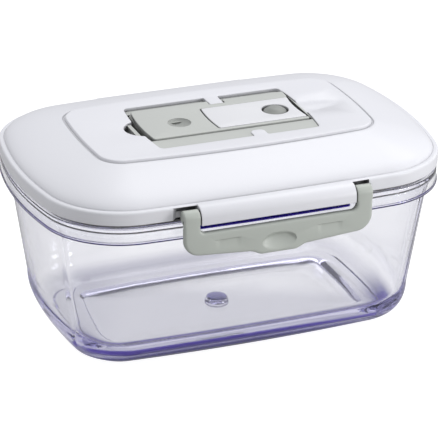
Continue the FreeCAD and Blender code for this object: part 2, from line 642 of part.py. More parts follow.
tray_front = box("TrayFront", -S("opening_left") + S("tray_end"), S("opening_right") - S("tray_end"),
                 -hollow_half, -S("well_front") - S("tray_wall"), S("tray_bottom") - OVER,
                 S("tray_ledge") - S("tray_ledge_thick"))
boss = rod("TrayBoss", "z", S("valve_x"), 0, S("tray_bottom"), S("boss_radius"),
           S("boss_top") - S("tray_bottom"))
tray_body = fuse("TrayBody", [well_cut, tray_clamp, tab_foot, tab_wall, boss])
rod_hole = rod("RodHole", "z", -S("piston_x"), 0, S("tray_bottom") - OVER, S("guide_radius"), THROUGH)
clamp_bore = rod("ClampBore", "z", -S("piston_x"), 0, S("flange_top") - OVER, S("clamp_inner"),
                 S("clamp_height") + OVER)
stem_hole = rod("StemHole", "z", S("valve_x"), 0, S("tray_bottom") - OVER,
                S("stem_radius") + S("stem_play"), THROUGH)
pin_reach = S("well_rear") + S("tray_wall")
pin_low = -S("well_front") - S("tray_wall")
pin_hole = rod("TrayPinHole", "y", -S("hinge_x"), pin_low, S("hinge_z"), S("hinge_pin_radius"),
               pin_reach - pin_low)
pump_tray = cut("pump_tray", tray_body, [tray_rear, tray_front, rod_hole, clamp_bore, stem_hole, pin_hole])

hinge_pin = rod("handle_hinge_pin", "y", -S("hinge_x"), pin_low, S("hinge_z"), S("hinge_pin_radius"),
                pin_reach - pin_low)


def arc_slot():
    """Cam slot for the cross pin: the pin rises in step with the handle's swing."""
    lever = F("hinge_x") - F("piston_x")
    drop = F("cross_pin_drop")
    width = F("cross_pin_radius") + F("slot_play")
    reach = F("cross_pin_half") + OVER
    pieces = []
    count = 14
    for i in range(count + 1):
        swing = math.radians(F("swing_degrees")) * i / count
        rise = lever * swing - drop
        x = lever * math.cos(swing) + rise * math.sin(swing)
        z = -lever * math.sin(swing) + rise * math.cos(swing)
        at = V(x - F("hinge_x"), -reach, z + F("hinge_z"))
        pieces.append(Part.makeCylinder(width, 2.0 * reach, at, V(0, 1, 0)))
    return pieces[0].fuse(pieces[1:]).removeSplitter()


handle_box = box("HandleBox", -S("handle_left"), S("handle_right"), -S("handle_front"),
                 S("handle_rear"), S("handle_bottom"), S("handle_top"))
handle_bow = rod("HandleBow", "z", S("handle_bow") - S("handle_left"), 0, S("handle_bottom") - OVER,
                 S("handle_bow"), THROUGH)
handle_block = common("HandleBlock", [handle_box, handle_bow])
under = box("HandleUnder", -S("hinge_x") + S("hinge_barrel"),
            S("handle_right") - S("handle_wall") - S("slab_notch_depth"),
            -S("handle_front") + S("handle_wall"), S("handle_rear") - S("handle_wall"),
            S("handle_bottom") - OVER, S("handle_top") - S("handle_plate"))
heel = box("HandleHeel", -S("handle_left") - OVER, -S("hinge_x") + S("hinge_barrel"),
           -S("handle_front") - OVER, S("handle_rear") + OVER, S("handle_bottom") - OVER, S("hinge_z"))
heel_top = box("HeelTop", -S("handle_left") - OVER, -S("handle_left") + S("handle_round"),
               -S("handle_front") - OVER, S("handle_rear") + OVER,
               S("handle_top") - S("handle_round"), S("handle_top") + OVER)
heel_bead = rod("HeelBead", "y", -S("handle_left") + S("handle_round"), -S("handle_front") - OVER,
                S("handle_top") - S("handle_round"), S("handle_round"),
                S("handle_front") + S("handle_rear") + 2.0 * OVER)
heel_trim = cut("HeelTrim", heel_top, [heel_bead])
finger_bite = rod("FingerBite", "z", S("handle_right") - S("slab_notch_depth") + S("slab_notch_radius"), 0,
                  S("handle_bottom") - OVER, S("slab_notch_radius"), THROUGH)
clip_half = S("clip_length") * 0.5 + S("clip_clear")
clip_notch = box("ClipNotch", S("clip_rear_x") - clip_half, S("clip_rear_x") + clip_half,
                 S("clip_reach") - S("clip_clear"), S("handle_rear") + OVER, S("handle_bottom") - OVER,
                 S("handle_top") + OVER)
handle_hull = cut("HandleHull", handle_block, [under, heel, heel_trim, finger_bite, clip_notch])
barrel = rod("HandleBarrel", "y", -S("hinge_x"), -S("handle_front") + S("barrel_inset"), S("hinge_z"),
             S("hinge_barrel"), S("handle_front") + S("handle_rear") - S("barrel_inset") * 2.0)
cheeks = []
for tag, sign in (("Rear", 1), ("Front", -1)):
    inner = S("cheek_inner") if sign > 0 else -S("cheek_inner") - S("cheek_wall")
    outer = S("cheek_inner") + S("cheek_wall") if sign > 0 else -S("cheek_inner")
    cheeks.append(box("Cheek" + tag, -S("piston_x") - S("cheek_back"), -S("piston_x") + S("cheek_ahead"),
                      inner, outer, S("tray_floor") + S("cheek_clear"),
                      S("handle_top") - S("handle_plate") * 0.5))
handle_solid = fuse("HandleSolid", [handle_hull, barrel] + cheeks)
slot_tool = solid("SlotTool", arc_slot())
pin_bore = rod("HandlePinBore", "y", -S("hinge_x"), -S("handle_front") - OVER, S("hinge_z"),
               S("hinge_pin_radius") + S("hinge_play"), S("handle_front") + S("handle_rear") + 2.0 * OVER)


def cap_sphere_at(name, x, radius, depth, base, way):
    """Sphere whose cap has the given radius and depth, bulging up (1) or sunk down (-1) from a level."""
    ball = doc.addObject("Part::Sphere", name)
    size = "((%s^2 + %s^2) / (2 * %s))" % (radius.text, depth.text, depth.text)
    value = (float(radius) ** 2 + float(depth) ** 2) / (2.0 * float(depth))
    ball.Radius = value
    ball.setExpression("Radius", size)
    reach = Dim(value, size) - depth
    place(ball, x, 0, base - reach * way)
    return ball


dimple = cap_sphere_at("DimpleTool", -S("dimple_x"), S("dimple_radius"), S("dimple_depth"),
                       S("handle_top"), -1)


def slab_blank(name, grow, z0, z1):
    """Slab outline: bowed left edge, hollow right edge."""
    block = box(name + "Box", -S("slab_left") - grow, S("slab_right") + grow, -S("slab_half_width") - grow,
                S("slab_half_width") + grow, z0, z1)
    round_left = rod(name + "Bow", "z", S("slab_bow") - S("slab_left") - grow, 0, z0 - OVER,
                     S("slab_bow"), THROUGH)
    blank = common(name + "Blank", [block, round_left])
    bite = rod(name + "Bite", "z", S("slab_right") - S("slab_notch_depth") + S("slab_notch_radius") + grow, 0,
               z0 - OVER, S("slab_notch_radius"), THROUGH)
    return cut(name + "Hull", blank, [bite])


slab_z = S("handle_top") - S("slab_thick") + S("slab_proud")
slab_seat = slab_blank("Seat", S("slab_gap"), slab_z, S("handle_top") + OVER)
handle_eye = rod("HandleEye", "z", S("valve_x"), 0, S("handle_bottom") - OVER, S("button_hole"), THROUGH)
pump_handle = cut("pump_handle", handle_solid, [slot_tool, pin_bore, dimple, slab_seat, handle_eye])
slab_hull = slab_blank("Slab", 0.0, slab_z, S("handle_top") + S("slab_proud"))
slab_eye = rod("SlabEye", "z", S("valve_x"), 0, S("handle_bottom"), S("button_hole"), THROUGH)
handle_slab = cut("handle_slab", slab_hull, [slab_eye])

# Pump: cylinder, gasket, flap valve, piston with its rod, cup seal and cross pin.
wall_out = S("bore_radius") + S("cylinder_wall")
cylinder_blank = turned("CylinderBlank", [
    (S("flap_stem"), S("cylinder_bottom")), (wall_out, S("cylinder_bottom")), (wall_out, S("flange_bottom")),
    (S("flange_radius"), S("flange_bottom")), (S("flange_radius"), S("flange_top")),
    (S("bore_radius"), S("flange_top")), (S("bore_radius"), S("cylinder_floor")),
    (S("flap_stem"), S("cylinder_floor"))], -S("piston_x"))
ports = []
for i in range(4):
    angle = math.pi * (0.25 + 0.5 * i)
    ports.append(rod("Port%d" % i, "z", S("port_circle") * math.cos(angle) - S("piston_x"),
                     S("port_circle") * math.sin(angle), S("cylinder_bottom") - OVER, S("port_radius"),
                     S("cylinder_base") + OVER * 2.0))
pump_cylinder = cut("pump_cylinder", cylinder_blank, ports)
cylinder_gasket = turned("cylinder_gasket", [
    (wall_out, S("plate_top")), (S("flange_radius"), S("plate_top")),
    (S("flange_radius"), S("flange_bottom")), (wall_out, S("flange_bottom"))], -S("piston_x"))
bulb_low = S("cylinder_bottom") - S("flap_bulb_height")
intake_valve = turned("intake_valve", [
    (0, bulb_low), (S("flap_stem"), bulb_low),
    (S("flap_bulb"), S("cylinder_bottom") - S("bulb_edge")), (S("flap_bulb"), S("cylinder_bottom")),
    (S("flap_stem"), S("cylinder_bottom")), (S("flap_stem"), S("cylinder_floor")),
    (S("flap_radius"), S("cylinder_floor")), (S("flap_radius"), S("cylinder_floor") + S("flap_thick") * 0.5),
    (0, S("cylinder_floor") + S("flap_thick"))], -S("piston_x"))
rod_run = S("rod_radius") + S("rod_play")
rod_guide = turned("rod_guide", [
    (rod_run, S("tray_bottom") - S("guide_lip")), (S("guide_flange"), S("tray_bottom") - S("guide_lip")),
    (S("guide_flange"), S("tray_bottom")), (S("guide_radius"), S("tray_bottom")),
    (S("guide_radius"), S("tray_floor")), (rod_run, S("tray_floor"))], -S("piston_x"))
pin_z = S("hinge_z") - S("cross_pin_drop")
relief_top = S("piston_bottom") + S("relief_depth")
relief_rim = S("flap_radius") + S("relief_margin")
piston_blank = turned("PistonBlank", [
    (0, relief_top), (relief_rim, relief_top), (relief_rim, S("piston_bottom")),
    (S("piston_radius"), S("piston_bottom")), (S("piston_radius"), S("cup_bottom")),
    (S("cup_inner"), S("cup_bottom")), (S("cup_inner"), S("cup_top")),
    (S("piston_radius"), S("cup_top")), (S("piston_radius"), S("piston_top")),
    (S("rod_radius"), S("piston_top")),
    (S("rod_radius"), pin_z + S("rod_head")), (0, pin_z + S("rod_head"))], -S("piston_x"))
piston_bore = rod("PistonBore", "y", -S("piston_x"), -S("cross_pin_half"), pin_z, S("cross_pin_radius"),
                  S("cross_pin_half") * 2.0)
piston = cut("piston", piston_blank, [piston_bore])
cup_out = S("bore_radius") - S("cup_clear")
piston_cup = turned("piston_cup", [
    (S("cup_inner"), S("cup_bottom")), (S("piston_radius"), S("cup_bottom")),
    (cup_out, S("cup_bottom") + S("cup_lip")), (cup_out, S("cup_top") - S("cup_lip")),
    (S("piston_radius"), S("cup_top")), (S("cup_inner"), S("cup_top"))],
    -S("piston_x"))
cross_pin = rod("piston_cross_pin", "y", -S("piston_x"), -S("cross_pin_half"), pin_z, S("cross_pin_radius"),
                S("cross_pin_half") * 2.0)

# Release valve: domed button on a stem, plug under the inner plate, coil spring.
plug_low = S("plate_bottom") - S("plug_thick")
button_blank = turned("ButtonBlank", [
    (0, S("needle_bottom")), (S("barb_radius") - S("barb_taper"), S("needle_bottom")),
    (S("barb_radius"), plug_low), (S("needle_radius"), plug_low), (S("needle_radius"), S("stem_bottom")),
    (S("stem_radius"), S("stem_bottom")),
    (S("stem_radius"), S("button_bottom")), (S("button_radius"), S("button_bottom")),
    (S("button_radius"), S("button_shoulder")), (0, S("button_shoulder"))], S("valve_x"))
cap_sphere = cap_sphere_at("CapSphere", S("valve_x"), S("button_radius"),
                           S("button_top") - S("button_shoulder"), S("button_shoulder"), 1)
cap_column = rod("CapColumn", "z", S("valve_x"), 0, S("button_shoulder") - OVER, S("button_radius"), THROUGH)
cap = common("ButtonCap", [cap_sphere, cap_column])
release_button = fuse("release_button", [button_blank, cap])
release_plug = turned("release_plug", [
    (S("needle_radius"), plug_low), (S("plug_radius") - S("plug_bevel"), plug_low),
    (S("plug_radius"), plug_low + S("plug_bevel")),
    (S("plug_radius"), S("plate_bottom")), (S("needle_radius"), S("plate_bottom"))], S("valve_x"))


def arc_between(start, pull, end):
    """Circular arc whose tangents meet at the pull point."""
    chord = end - start
    weight = 0.5 * chord.Length / (pull - start).Length
    middle = (start + pull * (2.0 * weight) + end) * (1.0 / (2.0 + 2.0 * weight))
    return Part.Arc(start, middle, end).toShape()


def coil(radius, wire, turns, z0, z1):
    """Compression spring: pairs of tangent arcs, each pair a quarter turn."""
    low = z0 + wire
    high = z1 - wire
    quarters = int(round(4 * turns))
    pitch = (high - low) / (2.0 * math.pi * turns)
    flat = math.sqrt(radius ** 2 + pitch ** 2)

    def spot(angle):
        return V(radius * math.cos(angle), radius * math.sin(angle), low + pitch * angle)

    def way(angle):
        return V(-radius * math.sin(angle) / flat, radius * math.cos(angle) / flat, pitch / flat)

    edges = []
    for i in range(quarters):
        a0 = 0.5 * math.pi * i
        a1 = a0 + 0.5 * math.pi
        p0, p1, t0, t1 = spot(a0), spot(a1), way(a0), way(a1)
        chord = p1 - p0
        both = t0 + t1
        lead = both.dot(both) - 4.0
        half = chord.dot(both)
        reach = (half - math.sqrt(half ** 2 - lead * chord.dot(chord))) / lead
        reach = abs(reach)
        q0 = p0 + t0 * reach
        q1 = p1 - t1 * reach
        joint = (q0 + q1) * 0.5
        edges.append(arc_between(p0, q0, joint))
        edges.append(arc_between(joint, q1, p1))
    spine = Part.Wire(edges)
    ring = Part.Wire([Part.Circle(spot(0.0), way(0.0), wire).toShape()])
    return spine.makePipeShell([ring], True, False)


release_spring = solid("release_spring", coil(F("coil_radius"), F("coil_wire"), F("coil_turns"),
                                              F("tray_floor"), F("button_bottom")))
place(release_spring, S("valve_x"), 0, 0)


def latch(name, sign):
    """Latch on the front (sign -1) or the rear (sign 1): arms, lower plate, eyes, stubs and hook."""
    body = doc.addObject("PartDesign::Body", name + "Frame")
    wide = S("latch_half_width")
    inner = S("latch_inner")
    top = S("latch_pin_z")
    mid = S("latch_x")
    outline = [
        (-wide, top), (-wide, S("latch_corner_z")), (-S("latch_shoulder"), S("latch_middle_z")),
        (-S("thumb_half"), S("thumb_z")), (S("thumb_half"), S("thumb_z")),
        (S("latch_shoulder"), S("latch_middle_z")), (wide, S("latch_corner_z")), (wide, top), (inner, top),
        (inner, S("window_bottom")), (-inner, S("window_bottom")), (-inner, top)]
    corners = [(mid + x, z) for x, z in outline]
    sk = sketch_in(body, name + "Outline", "XZ_Plane", corners)
    pad = body.newObject("PartDesign::Pad", name + "Pad")
    pad.Profile = sk
    pad.Length = F("latch_plate")
    pad.setExpression("Length", "Sizes.latch_plate")
    pad.Reversed = sign < 0
    sk.Visibility = False
    body.Tip = pad
    doc.recompute()
    rounds = []
    for i, edge in enumerate(pad.Shape.Edges, start=1):
        a, b = edge.Vertexes[0].Point, edge.Vertexes[-1].Point
        if abs(a.y - b.y) > 1.0 and abs(abs(a.x - F("latch_x")) - F("latch_half_width")) < 0.01:
            if abs(a.z - F("latch_corner_z")) < 0.01:
                rounds.append("Edge%d" % i)
    bend = body.newObject("PartDesign::Fillet", name + "Corners")
    bend.Base = (pad, rounds)
    bend.Radius = F("latch_corner")
    bend.setExpression("Radius", "Sizes.latch_corner")
    body.Tip = bend
    doc.recompute()
    # the pad's own side is found from its box, so that the plate's outer face lands on latch_face
    near = bend.Shape.BoundBox.YMin if sign < 0 else bend.Shape.BoundBox.YMax
    shift = S("latch_face") * sign - near
    place(body, 0, shift, 0)
    pieces = [body]
    pin_y = S("latch_pin_y") * sign
    span = wide - inner
    plate_in = S("latch_face") - S("latch_plate")
    for tag, start in (("Left", -wide), ("Right", inner)):
        pieces.append(rod(name + "Eye" + tag, "x", mid + start, pin_y, S("latch_pin_z"), S("latch_eye"),
                          span))
    for tag, start in (("Left", -inner), ("Right", inner - S("latch_stub_length"))):
        pieces.append(rod(name + "Stub" + tag, "x", mid + start, pin_y, S("latch_pin_z"), S("latch_stub"),
                          S("latch_stub_length")))
    hook = [S("hook_y"), plate_in + S("latch_plate") * 0.5]
    y0, y1 = (hook[0], hook[1]) if sign > 0 else (-hook[1], -hook[0])
    pieces.append(box(name + "Hook", mid - S("lip_half_length"), mid + S("lip_half_length"), y0, y1,
                      S("hook_top") - S("hook_height"), S("hook_top")))
    whole = fuse(name + "Whole", pieces)
    tools = [ellipsoid(name + "Thumb", mid, S("latch_face") * sign, S("thumb_centre_z"),
                       S("thumb_scoop_half"), S("thumb_scoop_depth"), S("thumb_scoop_high"))]
    for tag, side in (("Left", -1), ("Right", 1)):
        low = S("latch_face") - S("pad_depth")
        high = S("latch_face") + OVER
        y0, y1 = (low, high) if sign > 0 else (-high, -low)
        middle = mid + S("pad_x") * side
        tools.append(box(name + "Pad" + tag, middle - S("pad_half"), middle + S("pad_half"),
                         y0, y1, S("pad_bottom"), S("pad_top")))
    return cut(name, whole, tools)


front_latch = latch("front_latch", -1)
rear_latch = latch("rear_latch", 1)

NODES = [tub, lid_cover, inner_plate, lid_seal, pump_tray, hinge_pin, pump_handle, handle_slab, pump_cylinder,
         cylinder_gasket, intake_valve, rod_guide, piston, piston_cup, cross_pin, release_button,
         release_plug, release_spring, front_latch, rear_latch]

doc.recompute()
faults = []
for obj in doc.Objects:
    if "Invalid" in obj.State or "Error" in obj.State:
        faults.append(obj.Name)
for obj in NODES:
    if obj.Shape.isNull() or not obj.Shape.isValid():
        faults.append(obj.Name + " shape")
if faults:
    raise RuntimeError("faulty objects: " + ", ".join(faults))

os.makedirs("parts", exist_ok=True)
for obj in NODES:
    obj.Label = obj.Name
    obj.Shape.exportStep("parts/%s.step" % obj.Name)
    print(obj.Name, len(obj.Shape.Solids), round(obj.Shape.Volume, 1))
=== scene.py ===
# %% [markdown]
# # Vacuum seal canister
# A clear tub with a white domed lid, two side latches and a lever pump let into the lid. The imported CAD
# model is the fixed frame: it says where each piece is and how it moves. This lesson gives it its looks.
# One could dress the CAD meshes as they are, but their edges are hard, so the pieces that show are drawn
# again with soft edges and the hidden ones only get a material. Sizes are in millimetres; `MM` turns them
# into metres.

import math

import bmesh
import bpy
import numpy as np
from mathutils import Matrix, Vector
from mathutils.geometry import delaunay_2d_cdt


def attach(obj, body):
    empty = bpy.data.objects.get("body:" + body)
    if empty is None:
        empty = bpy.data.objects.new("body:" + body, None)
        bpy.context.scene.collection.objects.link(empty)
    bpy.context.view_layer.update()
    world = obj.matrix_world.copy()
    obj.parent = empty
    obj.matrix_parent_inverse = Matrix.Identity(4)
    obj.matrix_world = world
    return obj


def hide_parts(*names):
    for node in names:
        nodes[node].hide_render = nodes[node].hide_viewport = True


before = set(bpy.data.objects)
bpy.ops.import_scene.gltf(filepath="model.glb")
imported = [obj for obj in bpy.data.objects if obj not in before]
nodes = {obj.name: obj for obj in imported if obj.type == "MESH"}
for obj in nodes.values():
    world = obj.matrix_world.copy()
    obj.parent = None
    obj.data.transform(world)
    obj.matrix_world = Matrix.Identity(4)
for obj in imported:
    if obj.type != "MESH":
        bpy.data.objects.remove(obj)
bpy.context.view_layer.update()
MM = 0.001
scene = bpy.context.scene


def put(name, data):
    """Adds an object with this data to the scene."""
    obj = bpy.data.objects.new(name, data)
    scene.collection.objects.link(obj)
    return obj


# %% [markdown]
# ## Outline
# Seen from above, tub and lid are a soft rectangle: four flat arcs joined by four tangent corner arcs. A
# superellipse would be shorter to write, but insets of it aren't parallel. With arcs, an inset only changes
# the five sizes (half length, half width, corner, side and end radius), so rim, flange, seal and walls stay
# parallel.

# %% Sizes that several pieces share
RIM = np.array([115.0, 77.2, 44.0, 1600.0, 210.0])
LATCH_X = 1.7
LATCH_WIDE = 52.8
LATCH_INNER = 43.8
print("rim:", 2 * RIM[0], "by", 2 * RIM[1], "mm")

# %% Outline with a fixed number of points
END_POINTS = 16
CORNER_POINTS = 29
SIDE_POINTS = 19
POCKET_MARKS = (42.1, 45.1, 51.4, 54.8)
MARK_HALF, MARK_LIMIT = 0.02, 0.97


def arc(centre, radius, start, stop, count):
    angle = np.linspace(start, stop, count)
    return np.c_[centre[0] + radius * np.cos(angle), centre[1] + radius * np.sin(angle)]


def plan(sizes):
    """Closed outline, counter-clockwise from +X, with the same number of points for any sizes."""
    half_length, half_width, corner, side, end = sizes
    side_mid = np.array([0.0, half_width - side])
    end_mid = np.array([half_length - end, 0.0])
    gap = end_mid - side_mid
    span = np.hypot(*gap)
    along = ((side - corner) ** 2 - (end - corner) ** 2 + span**2) / (2 * span)
    across = math.sqrt(max((side - corner) ** 2 - along**2, 0.0))
    unit = gap / span
    normal = np.array([-unit[1], unit[0]])
    choices = [side_mid + along * unit + s * across * normal for s in (1, -1)]
    corner_mid = max(choices, key=lambda p: p[0] + p[1])
    high = math.atan2(*(corner_mid - side_mid)[::-1])
    low = math.atan2(*(corner_mid - end_mid)[::-1])
    reach = (side_mid + side * np.array([math.cos(high), math.sin(high)]))[0]
    along_side = [reach * (1 - k / SIDE_POINTS) for k in range(1, SIDE_POINTS + 1)]
    along_side += [min(m, MARK_LIMIT * reach) + d for m in POCKET_MARKS for d in (-MARK_HALF, MARK_HALF)]
    spots = np.array(sorted(along_side, reverse=True))
    straight = np.c_[spots, side_mid[1] + np.sqrt(side**2 - spots**2)]
    quarter = np.vstack([
        arc(end_mid, end, 0.0, low, END_POINTS),
        arc(corner_mid, corner, low, high, CORNER_POINTS + 1)[1:],
        straight,
    ])
    flip = quarter[::-1]
    return np.vstack([quarter, flip[1:] * [-1, 1], quarter[1:] * [-1, -1], flip[1:-1] * [1, -1]])


def rim(inset):
    return RIM - inset


def at_height(flat, z):
    return np.c_[flat, np.full(len(flat), z)]


def level(sizes, z):
    """The outline of these sizes as a ring at one height."""
    return at_height(plan(sizes), z)


def mixed(low, high, share):
    return low + (high - low) * share


print("outline:", len(plan(RIM)), "points")

# %% [markdown]
# ## Loops and rounded corners
# Moulded plastic has a small radius on every corner. A Bevel modifier can give it, but it widens thin slots
# and leaves no control of single corners, so each corner of a section or outline carries its own radius
# here.

# %% Loop tools
SHARPEST_TURN = 0.3


def rounded(points, closed=True, steps=6):
    """Polyline of (x, y, radius) with each corner replaced by an arc of its radius."""
    out = []
    count = len(points)
    for i, (x, y, radius) in enumerate(points):
        here = np.array([x, y], float)
        ends = not closed and i in (0, count - 1)
        if radius <= 0 or ends:
            out.append(here)
            continue
        back = np.array(points[i - 1][:2], float) - here
        ahead = np.array(points[(i + 1) % count][:2], float) - here
        back /= np.hypot(*back)
        ahead /= np.hypot(*ahead)
        half = 0.5 * math.acos(np.clip(back @ ahead, -1, 1))
        reach = radius / math.tan(half)
        first, last = here + back * reach, here + ahead * reach
        weight = math.sin(half)
        for t in np.linspace(0, 1, steps + 1):
            w0, w1, w2 = (1 - t) ** 2, 2 * t * (1 - t) * weight, t**2
            out.append((w0 * first + w1 * here + w2 * last) / (w0 + w1 + w2))
    return np.array(out)


def sharp(point):
    """A point of a loop as a corner without a radius."""
    return (point[0], point[1], 0)


def circle(x, y, radius, count=64):
    return arc((x, y), radius, 0.0, 2 * math.pi, count + 1)[:-1]


def inset_loop(loop, amount):
    """Closed counter-clockwise loop moved inward by the amount."""
    back = loop - np.roll(loop, 1, 0)
    ahead = np.roll(loop, -1, 0) - loop
    n1 = np.c_[-back[:, 1], back[:, 0]] / np.hypot(back[:, 0], back[:, 1])[:, None]
    n2 = np.c_[-ahead[:, 1], ahead[:, 0]] / np.hypot(ahead[:, 0], ahead[:, 1])[:, None]
    turn = 1 + np.sum(n1 * n2, axis=1)
    return loop + amount * (n1 + n2) / np.maximum(turn, SHARPEST_TURN)[:, None]


def inside(loop, point):
    """Even-odd test of a point against a closed loop."""
    x, y = point
    x0, y0 = loop[:, 0], loop[:, 1]
    x1, y1 = np.roll(x0, -1), np.roll(y0, -1)
    crosses = (y0 > y) != (y1 > y)
    safe = np.where(y1 == y0, 1.0, y1 - y0)
    return bool(np.count_nonzero(crosses & (x < x0 + (y - y0) * (x1 - x0) / safe)) % 2)


FULL_TURN = np.linspace(0, 2 * math.pi, 41)[:-1]


def spread_points(centre, reach, shares, angles=FULL_TURN):
    """Points on scaled copies of one ellipse, to carry a relief."""
    return [(centre[0] + reach[0] * share * math.cos(angle), centre[1] + reach[1] * share * math.sin(angle))
            for share in shares for angle in angles]


def edge_rings(loop, inset, edge, z, rise, steps, fall=1.0):
    """Rings over a rounded edge, from the flat face to the upright side; inset is -1 for a hole."""
    rings = []
    for angle in np.linspace(0, math.pi / 2, steps + 1):
        flat = inset_loop(loop, inset * edge * (1 - math.sin(angle)))
        drop = fall * edge * (1 - math.cos(angle))
        rings.append([(x, y, z - drop + rise(x, y)) for x, y in flat])
    return rings


def no_rise(x, y):
    return 0.0


def ramp(value, start, stop):
    """Smooth step from 0 at start to 1 at stop."""
    t = min(max((value - start) / (stop - start), 0.0), 1.0)
    return t * t * (3 - 2 * t)


print("corner test:", len(rounded([(0, 0, 1), (9, 0, 1), (9, 9, 1), (0, 9, 1)])), "points round a square")

# %% [markdown]
# ## Skins and plates
# Two kinds of surface make the whole object. A skin joins rings of points, as on the tub and the dome of
# the lid. A plate is a flat moulding with soft edges, holes and a relief on top, as on latches and handle.
# Subdivision would round everything alike, so the points are placed where the shape needs them.

# %% Mesh tools
WELD, NO_EDGE = 2e-6, 1e-7
SAME_POINT = 1e-6


class Pieces:
    """Collects points and faces in millimetres, then becomes one mesh object."""

    def __init__(self):
        self.points = []
        self.faces = []

    def ring(self, points):
        start = len(self.points)
        self.points.extend(tuple(p) for p in points)
        return range(start, start + len(points))

    def skin(self, rings, capped=False):
        """Joins rings of equal count; capped closes the first and the last one."""
        rows = [self.ring(r) for r in rings]
        for low, high in zip(rows[:-1], rows[1:]):
            count = len(low)
            for j in range(count):
                k = (j + 1) % count
                self.faces.append((low[j], low[k], high[k], high[j]))
        if capped:
            self.faces += [tuple(rows[0]), tuple(rows[-1])]
        return rows

    def fill(self, outer, holes, extra, lift, flip=False):
        """Flat area between loops; lift gives the height of a point."""
        loops = [outer] + list(holes)
        flat = np.vstack(loops + [np.array(extra, float).reshape(-1, 2)])
        edges = []
        start = 0
        for loop in loops:
            count = len(loop)
            edges += [(start + j, start + (j + 1) % count) for j in range(count)]
            start += count
        done = delaunay_2d_cdt([Vector(p) for p in flat], edges, [], 1, SAME_POINT)
        base = len(self.points)
        self.points.extend((v.x, v.y, lift(v.x, v.y)) for v in done[0])
        for face in done[2]:
            mid = np.mean([[done[0][i].x, done[0][i].y] for i in face], axis=0)
            if not inside(outer, mid) or any(inside(h, mid) for h in holes):
                continue
            order = face[::-1] if flip else face
            self.faces.append(tuple(base + i for i in order))

    def plate(self, outer, holes, top, bottom, edge, low_edge=0.0, relief=no_rise, extra=(), steps=4):
        """Flat moulding between two heights, with rounded upper (and lower) edges."""
        self.fill(inset_loop(outer, edge), [inset_loop(h, -edge) for h in holes], extra,
                  lambda x, y: top + relief(x, y))
        self.fill(inset_loop(outer, low_edge), [inset_loop(h, -low_edge) for h in holes], (),
                  lambda x, y: bottom, flip=True)
        for loop, inset in [(outer, 1.0)] + [(h, -1.0) for h in holes]:
            rings = edge_rings(loop, inset, edge, top, relief, steps)
            if low_edge > 0:
                rings += edge_rings(loop, inset, low_edge, bottom, no_rise, steps, fall=-1.0)[::-1]
            else:
                rings.append([(x, y, bottom) for x, y in loop])
            self.skin(rings)
        return self

    def turn(self, place):
        """Sends each (u, v, height) point to its place (x, y, z)."""
        self.points = [tuple(place(*p)) for p in self.points]
        return self

    def add(self, other):
        base = len(self.points)
        self.points += other.points
        self.faces += [tuple(base + i for i in f) for f in other.faces]
        return self

    def make(self, name, material, crease=38.0):
        mesh = bpy.data.meshes.new(name)
        mesh.from_pydata([tuple(c * MM for c in p) for p in self.points], [], self.faces)
        bm = bmesh.new()
        bm.from_mesh(mesh)
        bmesh.ops.remove_doubles(bm, verts=bm.verts, dist=WELD)
        bmesh.ops.dissolve_degenerate(bm, edges=bm.edges, dist=NO_EDGE)
        bmesh.ops.recalc_face_normals(bm, faces=bm.faces)
        open_edges = sum(1 for e in bm.edges if e.is_boundary)
        bm.to_mesh(mesh)
        bm.free()
        mesh.shade_smooth()
        mesh.set_sharp_from_angle(angle=math.radians(crease))
        mesh.materials.append(material)
        print(name, "-", len(mesh.polygons), "faces,", open_edges, "open edges")
        return put(name, mesh)


def settle(obj, body, slot, *cad_nodes):
    """Ties a finished piece to its CAD body and hides the CAD nodes it stands for; slot is not used."""
    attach(obj, body)
    if cad_nodes:
        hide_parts(*cad_nodes)


print("plate test:", len(Pieces().plate(circle(0, 0, 5), [], 2.0, 0.0, 0.5).faces), "faces in a disc")

# %% [markdown]
# ## Surface of moulded plastic
# Moulded plastic is never quite even: it has a fine grain, its gloss changes slowly, and narrow gaps look
# dark. That shade is painted into the colour. Image textures could show all this, but noise nodes need no
# files and fit any size. The three effects are shared node groups, which put out only values, colours and
# normals; the shaders stay in the materials.

# %% Nodes, and groups with named sockets


def node(tree, kind, inputs=None, **settings):
    """Adds a node: settings first, then each input as a value, or as a socket to link."""
    made = tree.nodes.new(kind)
    for label, value in settings.items():
        setattr(made, label, value)
    feed(tree, made, inputs or {})
    return made


def feed(tree, target, inputs):
    """Sets each input to its value, or links it to the socket given."""
    for label, value in inputs.items():
        if isinstance(value, bpy.types.NodeSocket):
            tree.links.new(value, target.inputs[label])
        else:
            target.inputs[label].default_value = value


def group(name, inputs, outputs):
    """Shader group with named inputs, each with a value, and named outputs."""
    tree = bpy.data.node_groups.new(name, "ShaderNodeTree")
    for label, kind, value in inputs:
        socket = tree.interface.new_socket(label, in_out="INPUT", socket_type=kind)
        socket.default_value = value
    for label, kind in outputs:
        tree.interface.new_socket(label, in_out="OUTPUT", socket_type=kind)
    print("group", name, "with", len(inputs), "inputs")
    return tree, tree.nodes.new("NodeGroupInput"), tree.nodes.new("NodeGroupOutput")


FLOAT, COLOUR, VECTOR = "NodeSocketFloat", "NodeSocketColor", "NodeSocketVector"
GREY = (0.8, 0.8, 0.8, 1)

# %% Grain and gloss
GRAIN_SCALE = 900.0
GRAIN_DEPTH = 0.0002
GLOSS_SCALE = 45.0


